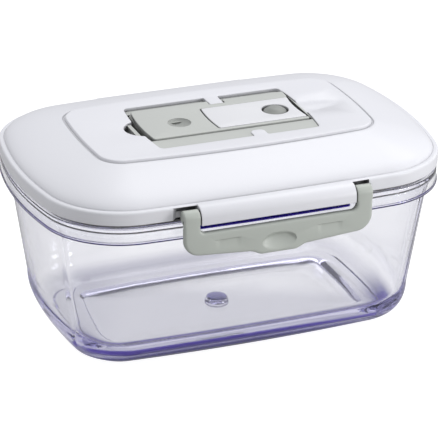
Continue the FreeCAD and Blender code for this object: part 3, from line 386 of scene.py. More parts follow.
def moulded_group():
    """Fine grain for the normal and a soft change of roughness."""
    tree, source, sink = group(
        "MouldedSurface",
        [("Scale", FLOAT, GRAIN_SCALE), ("Strength", FLOAT, 0.05), ("Roughness", FLOAT, 0.3),
         ("Drift", FLOAT, 0.05)],
        [("Normal", VECTOR), ("Roughness", FLOAT)])
    given = source.outputs
    where = node(tree, "ShaderNodeTexCoord").outputs["Object"]
    grain = node(tree, "ShaderNodeTexNoise", {"Vector": where, "Scale": given["Scale"], "Detail": 3.0})
    bump = node(tree, "ShaderNodeBump", {
        "Distance": GRAIN_DEPTH, "Strength": given["Strength"], "Height": grain.outputs["Fac"]})
    cloud = node(tree, "ShaderNodeTexNoise", {"Vector": where, "Scale": GLOSS_SCALE, "Detail": 4.0})
    centred = node(tree, "ShaderNodeMath", {0: cloud.outputs["Fac"], 1: 0.5}, operation="SUBTRACT")
    swing = node(tree, "ShaderNodeMath", {
        0: centred.outputs[0], 1: given["Drift"], 2: given["Roughness"]}, operation="MULTIPLY_ADD")
    feed(tree, sink, {"Normal": bump.outputs["Normal"], "Roughness": swing.outputs[0]})
    return tree


MOULDED = moulded_group()

# %% Drift of tone


def tone_group():
    """A slow, faint drift between two tones of one colour."""
    tree, source, sink = group(
        "ToneDrift", [("Colour", COLOUR, GREY), ("Second", COLOUR, GREY), ("Scale", FLOAT, 12.0)],
        [("Colour", COLOUR)])
    given = source.outputs
    where = node(tree, "ShaderNodeTexCoord").outputs["Object"]
    cloud = node(tree, "ShaderNodeTexNoise", {"Vector": where, "Scale": given["Scale"], "Detail": 2.0})
    blend = node(tree, "ShaderNodeMix", {
        "Factor": cloud.outputs["Fac"], "A": given["Colour"], "B": given["Second"]}, data_type="RGBA")
    feed(tree, sink, {"Colour": blend.outputs["Result"]})
    return tree


TONE = tone_group()

# %% Painted shade in narrow gaps
GAP_SHADE_REACH = 0.006
PIT_SHADE_REACH = 0.012
CLOSED_AT, CLOSED_SHADE = 0.1, 0.12


def gap_shade_group():
    """Painted shade: darkens the colour in narrow gaps and hollows, where shade falls."""
    tree, source, sink = group(
        "PaintedGapShade", [("Colour", COLOUR, GREY), ("Limit", FLOAT, 0.7), ("Reach", FLOAT, GAP_SHADE_REACH)],
        [("Colour", COLOUR)])
    given = source.outputs
    near = node(tree, "ShaderNodeAmbientOcclusion", {"Distance": given["Reach"]}, samples=8)
    open_share = node(tree, "ShaderNodeMapRange", {
        "Value": near.outputs["AO"], "From Min": CLOSED_AT, "From Max": given["Limit"],
        "To Min": CLOSED_SHADE}, interpolation_type="SMOOTHSTEP")
    shade = node(tree, "ShaderNodeMix", {
        "Factor": 1.0, "A": given["Colour"], "B": open_share.outputs["Result"]},
        data_type="RGBA", blend_type="MULTIPLY")
    feed(tree, sink, {"Colour": shade.outputs["Result"]})
    return tree


GAP_SHADE = gap_shade_group()

# %% [markdown]
# ## Opaque finishes
# The lid is glossy white, the pump parts and latches satin grey with a touch of green, the seals dull grey
# silicone and the pins drawn steel. One function makes them all, because they differ only in colour and
# gloss.

# %% White, grey, silicone and steel
GLOSS_DRIFT = 0.06
COAT_ROUGHNESS = 0.08


def placed(tree, shared, **values):
    """Puts a shared group into a material with its own values."""
    return node(tree, "ShaderNodeGroup", values, node_tree=shared)


def new_material(name):
    mat = bpy.data.materials.new(name)
    mat.use_nodes = True
    return mat, mat.node_tree, mat.node_tree.nodes["Principled BSDF"]


def plastic(name, colour, second, roughness, grain, coat=0.0, gloss=0.5, limit=0.7, reach=GAP_SHADE_REACH,
            metal=0.0):
    """Opaque moulded plastic, or drawn metal, with painted shade in its gaps."""
    mat, tree, shader = new_material(name)
    surface = placed(tree, MOULDED, Scale=GRAIN_SCALE, Strength=grain, Roughness=roughness, Drift=GLOSS_DRIFT)
    tone = placed(tree, TONE, Colour=(*colour, 1), Second=(*second, 1))
    # Painted shade: the colour darkens where other surfaces close in round a point.
    gap = placed(tree, GAP_SHADE, Limit=limit, Reach=reach, Colour=tone.outputs["Colour"])
    feed(tree, shader, {
        "Base Color": gap.outputs["Colour"], "Normal": surface.outputs["Normal"],
        "Roughness": surface.outputs["Roughness"], "Specular IOR Level": gloss, "Coat Weight": coat,
        "Coat Roughness": COAT_ROUGHNESS, "Metallic": metal})
    print("finish", name)
    return mat


# A limit of 0.95 widens the painted shade; the handle's longer reach also darkens its dimple.
WHITE = plastic("white_gloss", (0.83, 0.83, 0.87), (0.85, 0.85, 0.885), 0.32, 0.01, coat=0.08, limit=0.95)
INNER = plastic("white_inner", (0.78, 0.78, 0.79), (0.8, 0.8, 0.81), 0.35, 0.03)
SLAB = plastic("white_slab", (0.81, 0.81, 0.83), (0.83, 0.83, 0.85), 0.34, 0.04)
PUMP = plastic("pump_grey", (0.56, 0.575, 0.545), (0.585, 0.6, 0.57), 0.42, 0.08, limit=0.95, reach=PIT_SHADE_REACH)
BUTTON = plastic("button_grey", (0.3, 0.31, 0.29), (0.33, 0.34, 0.32), 0.4, 0.06)
LATCH = plastic("latch_grey", (0.5, 0.53, 0.485), (0.53, 0.56, 0.515), 0.4, 0.06, limit=0.95)
SEAL = plastic("seal_grey", (0.19, 0.19, 0.19), (0.21, 0.21, 0.21), 0.6, 0.1, gloss=0.3)
PALE = plastic("pale_silicone", (0.62, 0.62, 0.61), (0.66, 0.66, 0.65), 0.55, 0.08, gloss=0.3)
STEEL = plastic("pin_steel", (0.5, 0.5, 0.5), (0.56, 0.56, 0.56), 0.3, 0.05, metal=1.0)

# %% [markdown]
# ## Clear tinted plastic
# The tub's plastic looks clear in its thin walls and violet where light runs a long way inside it, at the
# foot and the edges. Volume absorption alone would show that only with many light bounces, so a tint
# attribute on the mesh also says how much of the violet has gathered at a point, and a light absorption
# adds the rest. The tint also paints shade: a dark strip on the flange under each hinge block, and a
# deeper violet at the front of the foot and the floor.

# %% Clear finish
CLEAR_TONE = (0.975, 0.978, 0.985, 1)
VIOLET = (0.008, 0.003, 0.15, 1)
DEEP_VIOLET = (0.0004, 0.0003, 0.003, 1)
DEPTH_TONE = (0.5, 0.45, 0.93, 1)
DEPTH_DENSITY = 9.0
CLEAR_IOR = 1.5


def clear_plastic():
    mat, tree, shader = new_material("clear_tub")
    gathered = node(tree, "ShaderNodeAttribute", attribute_name="tint")
    halved = node(tree, "ShaderNodeMath", {0: gathered.outputs["Fac"], 1: 0.5}, operation="MULTIPLY")
    tones = node(tree, "ShaderNodeValToRGB", {"Fac": halved.outputs[0]})
    stops = tones.color_ramp.elements
    stops[0].color = CLEAR_TONE
    stops[1].color = DEEP_VIOLET
    stops.new(0.5).color = VIOLET
    depth = node(tree, "ShaderNodeVolumeAbsorption", {"Color": DEPTH_TONE, "Density": DEPTH_DENSITY})
    surface = placed(tree, MOULDED, Scale=60.0, Strength=0.02, Roughness=0.03, Drift=0.02)
    feed(tree, shader, {
        "Transmission Weight": 1.0, "IOR": CLEAR_IOR, "Base Color": tones.outputs["Color"],
        "Roughness": surface.outputs["Roughness"]})
    feed(tree, tree.nodes["Material Output"], {"Volume": depth.outputs["Volume"]})
    print("finish", mat.name, "with", len(stops), "tones")
    return mat


CLEAR = clear_plastic()

# %% [markdown]
# ## Tub
# The tub is injection moulded: a foot ring round a sunk panel, a deeply rounded bowl, walls that lean
# outwards, and a hollow flange with a bead along its lower edge. A box with bevels and Solidify would give
# an even wall; the real one is thick at the foot and thin above, so the outside and the inside are rings of
# one closed skin.

# %% Tub sizes
FOOT = np.array([86.8, 48.1, 20.0, 980.0, 480.0])
FLOOR = np.array([75.9, 37.2, 12.0, 980.0, 480.0])
PANEL = np.array([73.9, 35.2, 6.0, 980.0, 480.0])
GATE = np.array([6.6, 6.6, 6.0, 7.0, 7.0])
WALL_LOW, WALL_HIGH = 14.0, 5.0
INNER_LOW, INNER_HIGH = 16.6, 7.6
BOWL_TOP, INNER_BOWL_TOP = 22.0, 22.8
FLANGE_LOW = 82.0
FLOOR_Z = 5.0
PANEL_Z = 1.2
print("foot:", 2 * FOOT[0], "by", 2 * FOOT[1], "mm, floor", FLOOR_Z - PANEL_Z, "mm thick")

# %% Where the tint gathers
GATE_TINT_RADIUS = 6.2
GATE_TINT, GATE_TINT_UNDER = 0.95, 0.45
UNDER_LIMIT, FLOOR_LIMIT = 3.0, 7.1
FOOT_TINT_TOP = 14.0
FOOT_FADE = (11.5, 4.5)
# Painted shade: the foot's violet is deeper at the front and the middle than at the rear and the ends.
FRONT_FADE, REAR_SHARE = (10.0, -30.0), 0.3
MIDDLE_FADE, MIDDLE_GAIN = (80.0, 0.0), 0.7
LEFT_FADE, LEFT_LOSS = (-60.0, -88.0), 0.4
# Painted shade: the floor's tint deepens towards the front left.
FLOOR_FADE, FLOOR_SKEW = (26.0, 6.0), 0.45
FLOOR_TINT, FLOOR_GAIN = 0.07, 0.2
BEAD_SPAN, BEAD_TINT = (81.5, 82.45), 1.6
# Painted shade: a dark violet strip on the flange where each hinge block shades it.
NOSE_SHADE_SPAN, NOSE_SHADE_TINT = (86.2, 88.4), 1.4
NOSE_SHADE_HALF = 43.0
END_FADE, END_TINT = (70.0, 95.0), 0.08


def foot_tint(x, y, z):
    """Foot violet, painted as shade: strongest mid-front, where light runs furthest through the foot."""
    front = REAR_SHARE + (1.0 - REAR_SHARE) * ramp(y, *FRONT_FADE)
    thick = 1.0 + MIDDLE_GAIN * ramp(x, *MIDDLE_FADE) - LEFT_LOSS * ramp(x, *LEFT_FADE)
    return front * thick * ramp(z, *FOOT_FADE)


def tub_tint(x, y, z, wall, foot):
    """Tint at a point: gate mark, foot, floor, bead, painted shade under the hinge blocks, end walls."""
    outside_wall = not inside(wall, (x, y))
    if x * x + y * y < GATE_TINT_RADIUS**2 and (z > FLOOR_LIMIT or z < UNDER_LIMIT):
        return GATE_TINT if z > UNDER_LIMIT else GATE_TINT_UNDER
    if z < FOOT_TINT_TOP and not inside(foot, (x, y)):
        return foot_tint(x, y, z)
    if z < FLOOR_LIMIT:
        # Floor tint with painted shade towards the front left.
        return FLOOR_TINT + FLOOR_GAIN * ramp(FLOOR_SKEW * x + y, *FLOOR_FADE)
    if BEAD_SPAN[0] < z < BEAD_SPAN[1] and outside_wall:
        return BEAD_TINT
    # Painted shade on the flange under the hinge blocks.
    if NOSE_SHADE_SPAN[0] < z < NOSE_SHADE_SPAN[1] and abs(x - LATCH_X) < NOSE_SHADE_HALF and outside_wall:
        return NOSE_SHADE_TINT
    return END_TINT * ramp(abs(x), *END_FADE)


print("tint at the foot:", round(foot_tint(0.0, -FOOT[1], UNDER_LIMIT), 2))

# %% Step of the inner wall at the corners
STEP_DEPTH = 0.8
STEP_TOP, STEP_FULL = 84.0, 76.0
STEP_FOOT = 12.0


def corner_weights(count):
    """For each point of a plan: 1 where an end wall meets its corner, fading to 0 along the corner."""
    quarter = np.zeros((count + 4) // 4)
    quarter[END_POINTS:END_POINTS + CORNER_POINTS] = (1 - np.linspace(0, 1, CORNER_POINTS)) ** 2
    flip = quarter[::-1]
    return np.concatenate([quarter, flip[1:], quarter[1:], flip[1:-1]])


def stepped(sizes, z):
    """Ring of the inner wall, with a small upright step where the end wall meets the corner."""
    depth = STEP_DEPTH * ramp(z, STEP_TOP, STEP_FULL) * ramp(z, FLOOR_Z, STEP_FOOT)
    outer, inner = plan(sizes), plan(sizes - 1.0)
    flat = outer + (inner - outer) * depth * corner_weights(len(outer))[:, None]
    return at_height(flat, z)


step_corners = int(np.count_nonzero(corner_weights(len(plan(RIM))) == 1))
print("inner wall step:", STEP_DEPTH, "mm at", step_corners, "corners")

# %% Rings of the tub
BOWL_RINGS = 16
WALL_RINGS = 13
FLOOR_STEPS, FLOOR_SHARES, MIDDLE_SHARE = (1.5, 4.0), (0.75, 0.5, 0.25), 0.5
FOOT_HEIGHT = 2.4
FLANGE_UNDER, FLANGE_TOP, LIP_TOP = 88.3, 91.2, 92.3
FLANGE_INNER, SKIRT_IN, SKIRT_OUT = 84.0, 2.0, 0.5
FOOT_EDGE = ((-0.8, 0.0), (-0.25, 0.2), (0.0, 0.7), (0.15, 1.4), (0.6, 2.1), (1.6, 2.6))
PANEL_EDGE = ((0.5, 0.0), (0.2, 0.2), (0.0, 0.5), (-0.3, 1.1), (-0.8, PANEL_Z))
GATE_EDGE = ((1.0, FLOOR_Z), (0.0, FLOOR_Z), (-0.5, 6.6), (-0.9, 7.05), (-1.1, 7.2))
GATE_TOP = 7.4
GATE_UNDER = ((1.0, PANEL_Z), (0.0, PANEL_Z), (-0.3, 0.7), (-0.6, 0.55))
GATE_HOLLOW = ((0.7, 0.6), (0.3, 0.85))
FLANGE_SECTION = [
    (WALL_HIGH, FLANGE_INNER, 0), (WALL_HIGH, FLANGE_UNDER, 1.2), (2.2, FLANGE_UNDER, 1.0), (2.17, 86.3, 0),
    (2.16, 86.0, 0), (2.04, 83.0, 0), (2.02, 82.6, 0), (SKIRT_IN, FLANGE_LOW, 0.5), (0.0, FLANGE_LOW, 0.6),
    (0.0, 83.5, 0.4), (SKIRT_OUT, 83.9, 0.4), (SKIRT_OUT, 86.0, 0), (SKIRT_OUT, 86.3, 0),
    (SKIRT_OUT, FLANGE_UNDER, 0), (SKIRT_OUT, 88.6, 0), (SKIRT_OUT, FLANGE_TOP, 0.8),
    (WALL_HIGH, FLANGE_TOP, 0.5), (WALL_HIGH, LIP_TOP, 0.5), (INNER_HIGH, LIP_TOP, 0.7),
    (INNER_HIGH, FLANGE_INNER, 0),
]


def bowl_rings(low, high, z_low, z_high):
    rings = []
    for angle in np.linspace(0, math.pi / 2, BOWL_RINGS):
        z = z_low + (z_high - z_low) * (1 - math.cos(angle))
        rings.append((mixed(low, high, math.sin(angle)), z))
    return rings


def grown(sizes, steps):
    """Rings of one outline, each grown by its own step, at its own height."""
    return [(sizes + step, z) for step, z in steps]


def outside_rings():
    rings = grown(FOOT, FOOT_EDGE) + bowl_rings(FOOT, rim(WALL_LOW), FOOT_HEIGHT, BOWL_TOP)[2:]
    for share in np.linspace(0.0, 1.0, WALL_RINGS)[1:]:
        rings.append((rim(mixed(WALL_LOW, WALL_HIGH, share)), mixed(BOWL_TOP, FLANGE_LOW, share)))
    return rings + [(rim(inset), z) for inset, z in rounded(FLANGE_SECTION, closed=False, steps=5)]


def inside_rings():
    rings = []
    for share in np.linspace(0.0, 1.0, WALL_RINGS):
        rings.append((rim(mixed(INNER_HIGH, INNER_LOW, share)), mixed(FLANGE_LOW, INNER_BOWL_TOP, share)))
    rings += bowl_rings(FLOOR, rim(INNER_LOW), FLOOR_Z, INNER_BOWL_TOP)[::-1][1:]
    rings += [(FLOOR - step, FLOOR_Z) for step in FLOOR_STEPS]
    rings += [(FLOOR * share, FLOOR_Z) for share in FLOOR_SHARES]
    return rings + grown(GATE, GATE_EDGE) + [(GATE * MIDDLE_SHARE, GATE_TOP)]


def under_rings():
    rings = grown(FOOT, FOOT_EDGE[:1]) + grown(PANEL, PANEL_EDGE) + [(FLOOR * MIDDLE_SHARE, PANEL_Z)]
    return rings + grown(GATE, GATE_UNDER) + [(GATE * share, z) for share, z in GATE_HOLLOW]


ring_counts = [len(rings()) for rings in (outside_rings, inside_rings, under_rings)]
print("tub rings outside, inside and under:", ring_counts)

# %% Tub skin
WALL_LINE = 3.5
FOOT_MARGIN = 1.0


def make_tub():
    tub_skin = Pieces()
    upper = [level(s, z) for s, z in outside_rings()] + [stepped(s, z) for s, z in inside_rings()]
    for rings in (upper, [level(s, z) for s, z in under_rings()]):
        rows = tub_skin.skin(rings)
        tub_skin.faces.append(tuple(rows[-1]))
    piece = tub_skin.make("tub_skin", CLEAR, crease=50.0)
    tint = piece.data.attributes.new("tint", "FLOAT", "POINT")
    wall = plan(rim(WALL_LINE))
    foot = plan(FOOT - FOOT_MARGIN)
    for i, vertex in enumerate(piece.data.vertices):
        tint.data[i].value = tub_tint(*(vertex.co / MM), wall, foot)
    return piece


tub = make_tub()
# Light goes through the clear plastic, so the tub throws no shadow of its own.
tub.visible_shadow = False
settle(tub, "container", "clear_tub", "tub")

# %% [markdown]
# ## Lid
# The lid has an upright rim band, a narrow ledge, a dome and a raised plateau round the pump. A sculpted or
# subdivided cap is hard to hold to sizes, so the dome is rings whose outline changes from the rim's to the
# plateau's, and the plateau is filled between its edge and the pump opening, with a leaf-shaped finger
# scoop. The dome is a few millimetres flatter than the CAD one, because the photograph shows it so.

# %% Lid sizes and finger scoop
PLATEAU = np.array([79.0, 41.6, 13.0, 700.0, 300.0])
DOME_INSET = 3.3
DOME_LOW, DOME_RISE, DOME_POWER = 100.6, 11.85, 2.2
DOME_SLOPE = 0.5
TOP = 113.4
SCOOP_X, SCOOP_LONG, SCOOP_WIDE, SCOOP_TAPER, SCOOP_DEPTH = 49.0, 24.5, 7.8, 0.09, 3.4
SCOOP_BACK, SCOOP_POWER, SCOOP_SPREAD = -9.0, 0.85, 7.0
SCOOP_SHARES = np.linspace(0.1, 1.0, 10)
SCOOP_ANGLES = np.linspace(-1.5, 1.5, 25)


def scoop(x, y):
    """Leaf-shaped finger scoop right of the pump opening."""
    along = x - SCOOP_X
    far = (along / SCOOP_LONG) ** 2 + (y / (SCOOP_WIDE - SCOOP_TAPER * along)) ** 2
    if along < SCOOP_BACK or far >= 1.0:
        return 0.0
    return -SCOOP_DEPTH * (1.0 - far) ** SCOOP_POWER


print("scoop depth in its middle:", -scoop(SCOOP_X, 0.0), "mm")

# %% Pump opening
OPEN_HALF, OPEN_LEFT, OPEN_RIGHT, OPEN_BOW = 29.8, -46.0, 49.0, 200.0
OPEN_CORNER, OPEN_ROUND, CLIP_ROUND = 26.6, 2.8, 0.8
NOTCH_X, NOTCH_RADIUS, NOTCH_ANGLE, NOTCH_HALF = -42.6, 10.9, 1.25, 11.6
CORNER_LEFT, CORNER_RIGHT, SEAM_X = -43.8, 46.8, -20.0
FRONT_CLIP, FRONT_CLIP_IN, FRONT_CLIP_ROUND = (9.0, 17.0), 22.4, 3.0
REAR_CLIP, REAR_CLIP_IN = (3.0, 11.0), 19.5


def opening_loop():
    """Pump opening with its bowed ends, the crescent notch and the clips over the ledges."""
    half = OPEN_HALF
    bend = math.asin(OPEN_CORNER / OPEN_BOW)
    beside = math.asin(NOTCH_HALF / OPEN_BOW)
    right = arc((OPEN_RIGHT - OPEN_BOW, 0), OPEN_BOW, -bend, bend, 25)
    left_top = arc((OPEN_LEFT + OPEN_BOW, 0), OPEN_BOW, math.pi - bend, math.pi - beside, 8)
    left_low = left_top[::-1] * [1, -1]
    notch = arc((NOTCH_X, 0), NOTCH_RADIUS, math.pi - NOTCH_ANGLE, math.pi + NOTCH_ANGLE, 30)
    clip = FRONT_CLIP
    before = rounded([
        (SEAM_X, -half, 0), (clip[0], -half, CLIP_ROUND), (clip[0], -FRONT_CLIP_IN, FRONT_CLIP_ROUND),
        (clip[1], -FRONT_CLIP_IN, FRONT_CLIP_ROUND), (clip[1], -half, CLIP_ROUND),
        (CORNER_RIGHT, -half, OPEN_ROUND), sharp(right[0])], closed=False)
    clip = REAR_CLIP
    after = rounded([
        sharp(right[-1]), (CORNER_RIGHT, half, OPEN_ROUND), (clip[1], half, CLIP_ROUND),
        (clip[1], REAR_CLIP_IN, CLIP_ROUND), (clip[0], REAR_CLIP_IN, CLIP_ROUND), (clip[0], half, CLIP_ROUND),
        (CORNER_LEFT, half, OPEN_ROUND), sharp(left_top[0])], closed=False)
    tail = rounded([sharp(left_low[-1]), (CORNER_LEFT, -half, OPEN_ROUND), (SEAM_X, -half, 0)], closed=False)
    return np.vstack([right, after[1:-1], left_top, notch, left_low, tail[1:], before[1:-1]])


print("opening:", len(opening_loop()), "points")

# %% Rim, dome and plateau
POCKET_DEPTH, POCKET_GAP, POCKET_TOP = 4.6, 0.4, 99.9
LIP = 0.5
WELL_Z = 109.0
SCOOP_CLEAR = 0.8
DOME_RINGS = 44
DOME_FROM, DOME_TO = 101.4, 0.93
LID_WALL, LID_LOW, LEDGE_Z, GROOVE_Z = 2.6, 93.1, 100.4, 111.6
BAND_SECTION = [
    (LID_WALL, 97.0, 0), (LID_WALL, LID_LOW, 0.4), (0.0, LID_LOW, 0.5), (0.0, LEDGE_Z, 1.3),
    (LID_WALL, 100.45, 0.4), (2.95, 100.2, 0.2), (DOME_INSET, 101.2, 0),
]
PLATEAU_SECTION = [
    (-2.4, 112.4, 0), (-1.5, 112.3, 0.4), (-0.9, GROOVE_Z, 0.4), (-0.2, GROOVE_Z, 0.4), (0.5, TOP, 0.7),
    (3.0, TOP, 0),
]


def pocketed(ring):
    """Sets the rim back where the arms of the latches sit."""
    across = np.abs(ring[:, 0] - LATCH_X)
    back = RIM[1] - POCKET_DEPTH
    hit = (across > LATCH_INNER - POCKET_GAP) & (across < LATCH_WIDE + POCKET_GAP)
    hit &= (np.abs(ring[:, 1]) > back) & (ring[:, 2] < POCKET_TOP)
    ring[hit, 1] = np.sign(ring[hit, 1]) * back
    return ring


def lid_rings():
    """Rim band and ledge, then the dome, then the groove round the plateau and its edge."""
    rings = [(rim(inset), z) for inset, z in rounded(BAND_SECTION, closed=False)]
    for share in np.linspace(0.0, 1.0, DOME_RINGS)[1:] ** DOME_POWER:
        bulge = math.sqrt(1 - (1 - share) ** DOME_POWER)
        z = DOME_LOW + DOME_RISE * (DOME_SLOPE * share + (1 - DOME_SLOPE) * bulge)
        if z > DOME_FROM and share < DOME_TO:
            rings.append((mixed(rim(DOME_INSET), PLATEAU, share), z))
    edge = rounded(PLATEAU_SECTION, closed=False)
    return rings + [(PLATEAU - inset, z) for inset, z in edge[1:]]


def make_lid():
    lid_skin = Pieces()
    rows = [pocketed(level(s, z)) for s, z in lid_rings()]
    lid_skin.skin(rows)
    hole = opening_loop()
    extra = spread_points((SCOOP_X, 0.0), (SCOOP_LONG, SCOOP_SPREAD), SCOOP_SHARES, SCOOP_ANGLES)
    extra = [p for p in extra if not inside(inset_loop(hole, -SCOOP_CLEAR), p)]
    lid_skin.fill(rows[-1][:, :2], [inset_loop(hole, -LIP)], extra, lambda x, y: TOP + scoop(x, y))
    walls = edge_rings(hole, -1.0, LIP, TOP, scoop, 4)
    walls.append([(x, y, WELL_Z) for x, y in hole])
    lid_skin.skin(walls)
    return lid_skin


print("lid rings:", len(lid_rings()))

# %% Hinge blocks and lid piece
NOSE_HALF = 43.4
NOSE_EDGE = 0.5
NOSE_ROOT, NOSE_BACK, NOSE_FRONT = 75.2, 78.6, 83.5
NOSE_LOW, NOSE_UNDER, NOSE_TOP = 91.0, 93.2, 100.7
NOSE_SECTION = [
    (NOSE_ROOT, NOSE_UNDER, 0), (NOSE_BACK, NOSE_UNDER, 0.3), (NOSE_BACK, NOSE_LOW, 0.5),
    (NOSE_FRONT, NOSE_LOW, 0.8), (NOSE_FRONT, NOSE_TOP, 6.0), (NOSE_ROOT, NOSE_TOP, 0),
]


def make_nose(sign):
    """Hinge block between the latch arms."""
    loop = rounded(NOSE_SECTION, steps=10)
    nose = Pieces().plate(loop, [], NOSE_HALF, -NOSE_HALF, NOSE_EDGE, NOSE_EDGE)
    return nose.turn(lambda u, v, h: (LATCH_X + h, sign * u, v))


lid_cover = make_lid().add(make_nose(-1)).add(make_nose(1)).make("lid_cover_skin", WHITE, crease=42.0)
settle(lid_cover, "lid", "white_shell", "lid_cover")

# %% [markdown]
# ## Latches
# Each latch is one moulding: a U-shaped plate with a bowed lower edge, a thumb scoop and two shallow pads,
# a hook behind it and an eye at the end of each arm. The scoop could be a Boolean cut, which leaves a
# ragged rim; a relief function over placed points keeps its edge clean.

# %% Thumb scoop and pads
THUMB_HALF, THUMB_HIGH, THUMB_Z, THUMB_DEPTH = 9.6, 5.4, 76.6, 2.7
PAD_X, PAD_HALF, PAD_HIGH, PAD_Z, PAD_DEPTH = 28.5, 7.5, 3.0, 79.3, 0.45
THUMB_STEPS = (0.15, 0.3, 0.45, 0.6, 0.72, 0.82, 0.9, 0.95, 0.98, 1.0, 1.04)
PAD_STEPS = (-1.0, -0.6, -0.2, 0.2, 0.5, 0.7, 0.83, 0.92, 1.0, 1.05)
THUMB_LOW, THUMB_UP = (-1.1, 0.45), (1.0, 0.4)
PAD_SIDE, PAD_END = 3.0, 6.0


def latch_relief(x, z):
    """Thumb scoop, steep above and flat below, and a shallow pad on each side that runs out downwards."""
    depth = 0.0
    span = 1.0 - (x / THUMB_HALF) ** 2
    if span > 0.0:
        rise = (z - THUMB_Z) / (THUMB_HIGH * math.sqrt(span))
        depth -= THUMB_DEPTH * math.sqrt(span) * ramp(rise, *THUMB_LOW) * ramp(rise, *THUMB_UP)
    across = 1.0 - abs(abs(x) - PAD_X) / PAD_HALF
    up = (z - PAD_Z) / PAD_HIGH
    if across > 0.0 and abs(up) < 1.0:
        edge = min(1.0, across * PAD_SIDE) * min(1.0, (1.0 - up) * PAD_END)
        depth -= PAD_DEPTH * edge * (1.0 + up)
    return depth


def latch_extra():
    points = spread_points((0.0, THUMB_Z), (THUMB_HALF, THUMB_HIGH), THUMB_STEPS)
    for side in (-PAD_X, PAD_X):
        points += [(side + PAD_HALF * u, PAD_Z + PAD_HIGH * v)
                   for u in np.linspace(-1, 1, 19) for v in PAD_STEPS]
    return points


print("thumb scoop:", 2 * THUMB_HALF, "mm wide, relief on", len(latch_extra()), "points")

# %% Latch plate with its hook
ARM_TOP, WINDOW_LOW, CORNER_LOW, SIDE_LOW, CHIN = 94.5, 87.0, 75.0, 72.2, 69.8
SIDE_HALF, CHIN_HALF = 15.0, 10.0
LATCH_ROUND, SIDE_ROUND, CHIN_ROUND, WINDOW_ROUND = 9.0, 8.0, 5.0, 3.0
FACE, BACK, FACE_EDGE, BACK_EDGE = 83.6, 80.6, 1.7, 0.4
HOOK_HALF, HOOK_EDGE, HOOK_TIP, HOOK_ROOT = 38.0, 0.3, 77.75, 80.9
HOOK_SECTION = [
    (HOOK_TIP, 80.3, 0.3), (HOOK_ROOT, 79.6, 0.2), (HOOK_ROOT, 81.9, 0.2), (HOOK_TIP, 81.4, 0.3),
]


def make_latch(name, sign):
    wide, inner = LATCH_WIDE, LATCH_INNER
    loop = rounded([
        (-wide, ARM_TOP, 0), (-wide, CORNER_LOW, LATCH_ROUND), (-SIDE_HALF, SIDE_LOW, SIDE_ROUND),
        (-CHIN_HALF, CHIN, CHIN_ROUND), (CHIN_HALF, CHIN, CHIN_ROUND), (SIDE_HALF, SIDE_LOW, SIDE_ROUND),
        (wide, CORNER_LOW, LATCH_ROUND), (wide, ARM_TOP, 0), (inner, ARM_TOP, 0),
        (inner, WINDOW_LOW, WINDOW_ROUND), (-inner, WINDOW_LOW, WINDOW_ROUND), (-inner, ARM_TOP, 0),
    ], steps=8)
    body = Pieces().plate(loop, [], FACE, BACK, FACE_EDGE, BACK_EDGE, latch_relief, latch_extra(), steps=6)
    body.turn(lambda u, v, h: (LATCH_X + u, sign * h, v))
    strip = Pieces().plate(rounded(HOOK_SECTION), [], HOOK_HALF, -HOOK_HALF, HOOK_EDGE, HOOK_EDGE)
    body.add(strip.turn(lambda u, v, h: (LATCH_X + h, sign * u, v)))
    return body.make(name + "_skin", LATCH, crease=40.0)


LATCHES = {"front_latch": -1, "rear_latch": 1}
for latch_name, latch_sign in LATCHES.items():
    settle(make_latch(latch_name, latch_sign), latch_name, "latch_grey", latch_name)

# %% [markdown]
# ## Eyes of the latches
# The same eye sits at the end of both arms of a latch. Copying the mesh twice would do, but Geometry Nodes
# keep the spacing as a named input: a line of points, the eye on each, made real and painted, then kept as
# a mesh.

# %% Geometry Nodes tools


def node_tree(name, inputs):
    """Geometry tree with named inputs; each row is a label, a socket kind and a value."""
    tree = bpy.data.node_groups.new(name, "GeometryNodeTree")
    values = {}
    for label, kind, value in inputs:
        socket = tree.interface.new_socket(label, in_out="INPUT", socket_type=kind)
        values[socket.identifier] = value
    tree.interface.new_socket("Geometry", in_out="OUTPUT", socket_type="NodeSocketGeometry")
    return tree, tree.nodes.new("NodeGroupInput"), values


def finish_tree(tree, source, geometry):
    """Ends a tree: makes copies real and paints the result."""
    real = node(tree, "GeometryNodeRealizeInstances", {"Geometry": geometry})
    paint = node(tree, "GeometryNodeSetMaterial", {
        "Geometry": real.outputs["Geometry"], "Material": source.outputs["Material"]})
    node(tree, "NodeGroupOutput", {"Geometry": paint.outputs["Geometry"]})


def bake(name, tree, values):
    """Runs a geometry tree once, with its inputs set by socket identifier, and keeps the mesh."""
    holder = put(name + "Holder", bpy.data.meshes.new(name + "Holder"))
    modifier = holder.modifiers.new("Nodes", "NODES")
    modifier.node_group = tree
    for identifier, value in values.items():
        modifier[identifier] = value
    graph = bpy.context.evaluated_depsgraph_get()
    mesh = bpy.data.meshes.new_from_object(holder.evaluated_get(graph))
    bpy.data.objects.remove(holder)
    print(name, "-", len(mesh.polygons), "faces from Geometry Nodes")
    return put(name, mesh)


# %% Eyes
EYE_BACK, EYE_HEEL, EYE_FACE = 76.3, 80.64, 83.57
EYE_LOW, EYE_BACK_LOW, EYE_TOP, EYE_EDGE = 91.6, 92.8, 99.3, 1.0
EYE_SECTION = [
    (EYE_HEEL, EYE_LOW, 0), (EYE_FACE, EYE_LOW, 0), (EYE_FACE, EYE_TOP, 4.0), (EYE_BACK, EYE_TOP, 3.4),
    (EYE_BACK, EYE_BACK_LOW, 2.6),
]


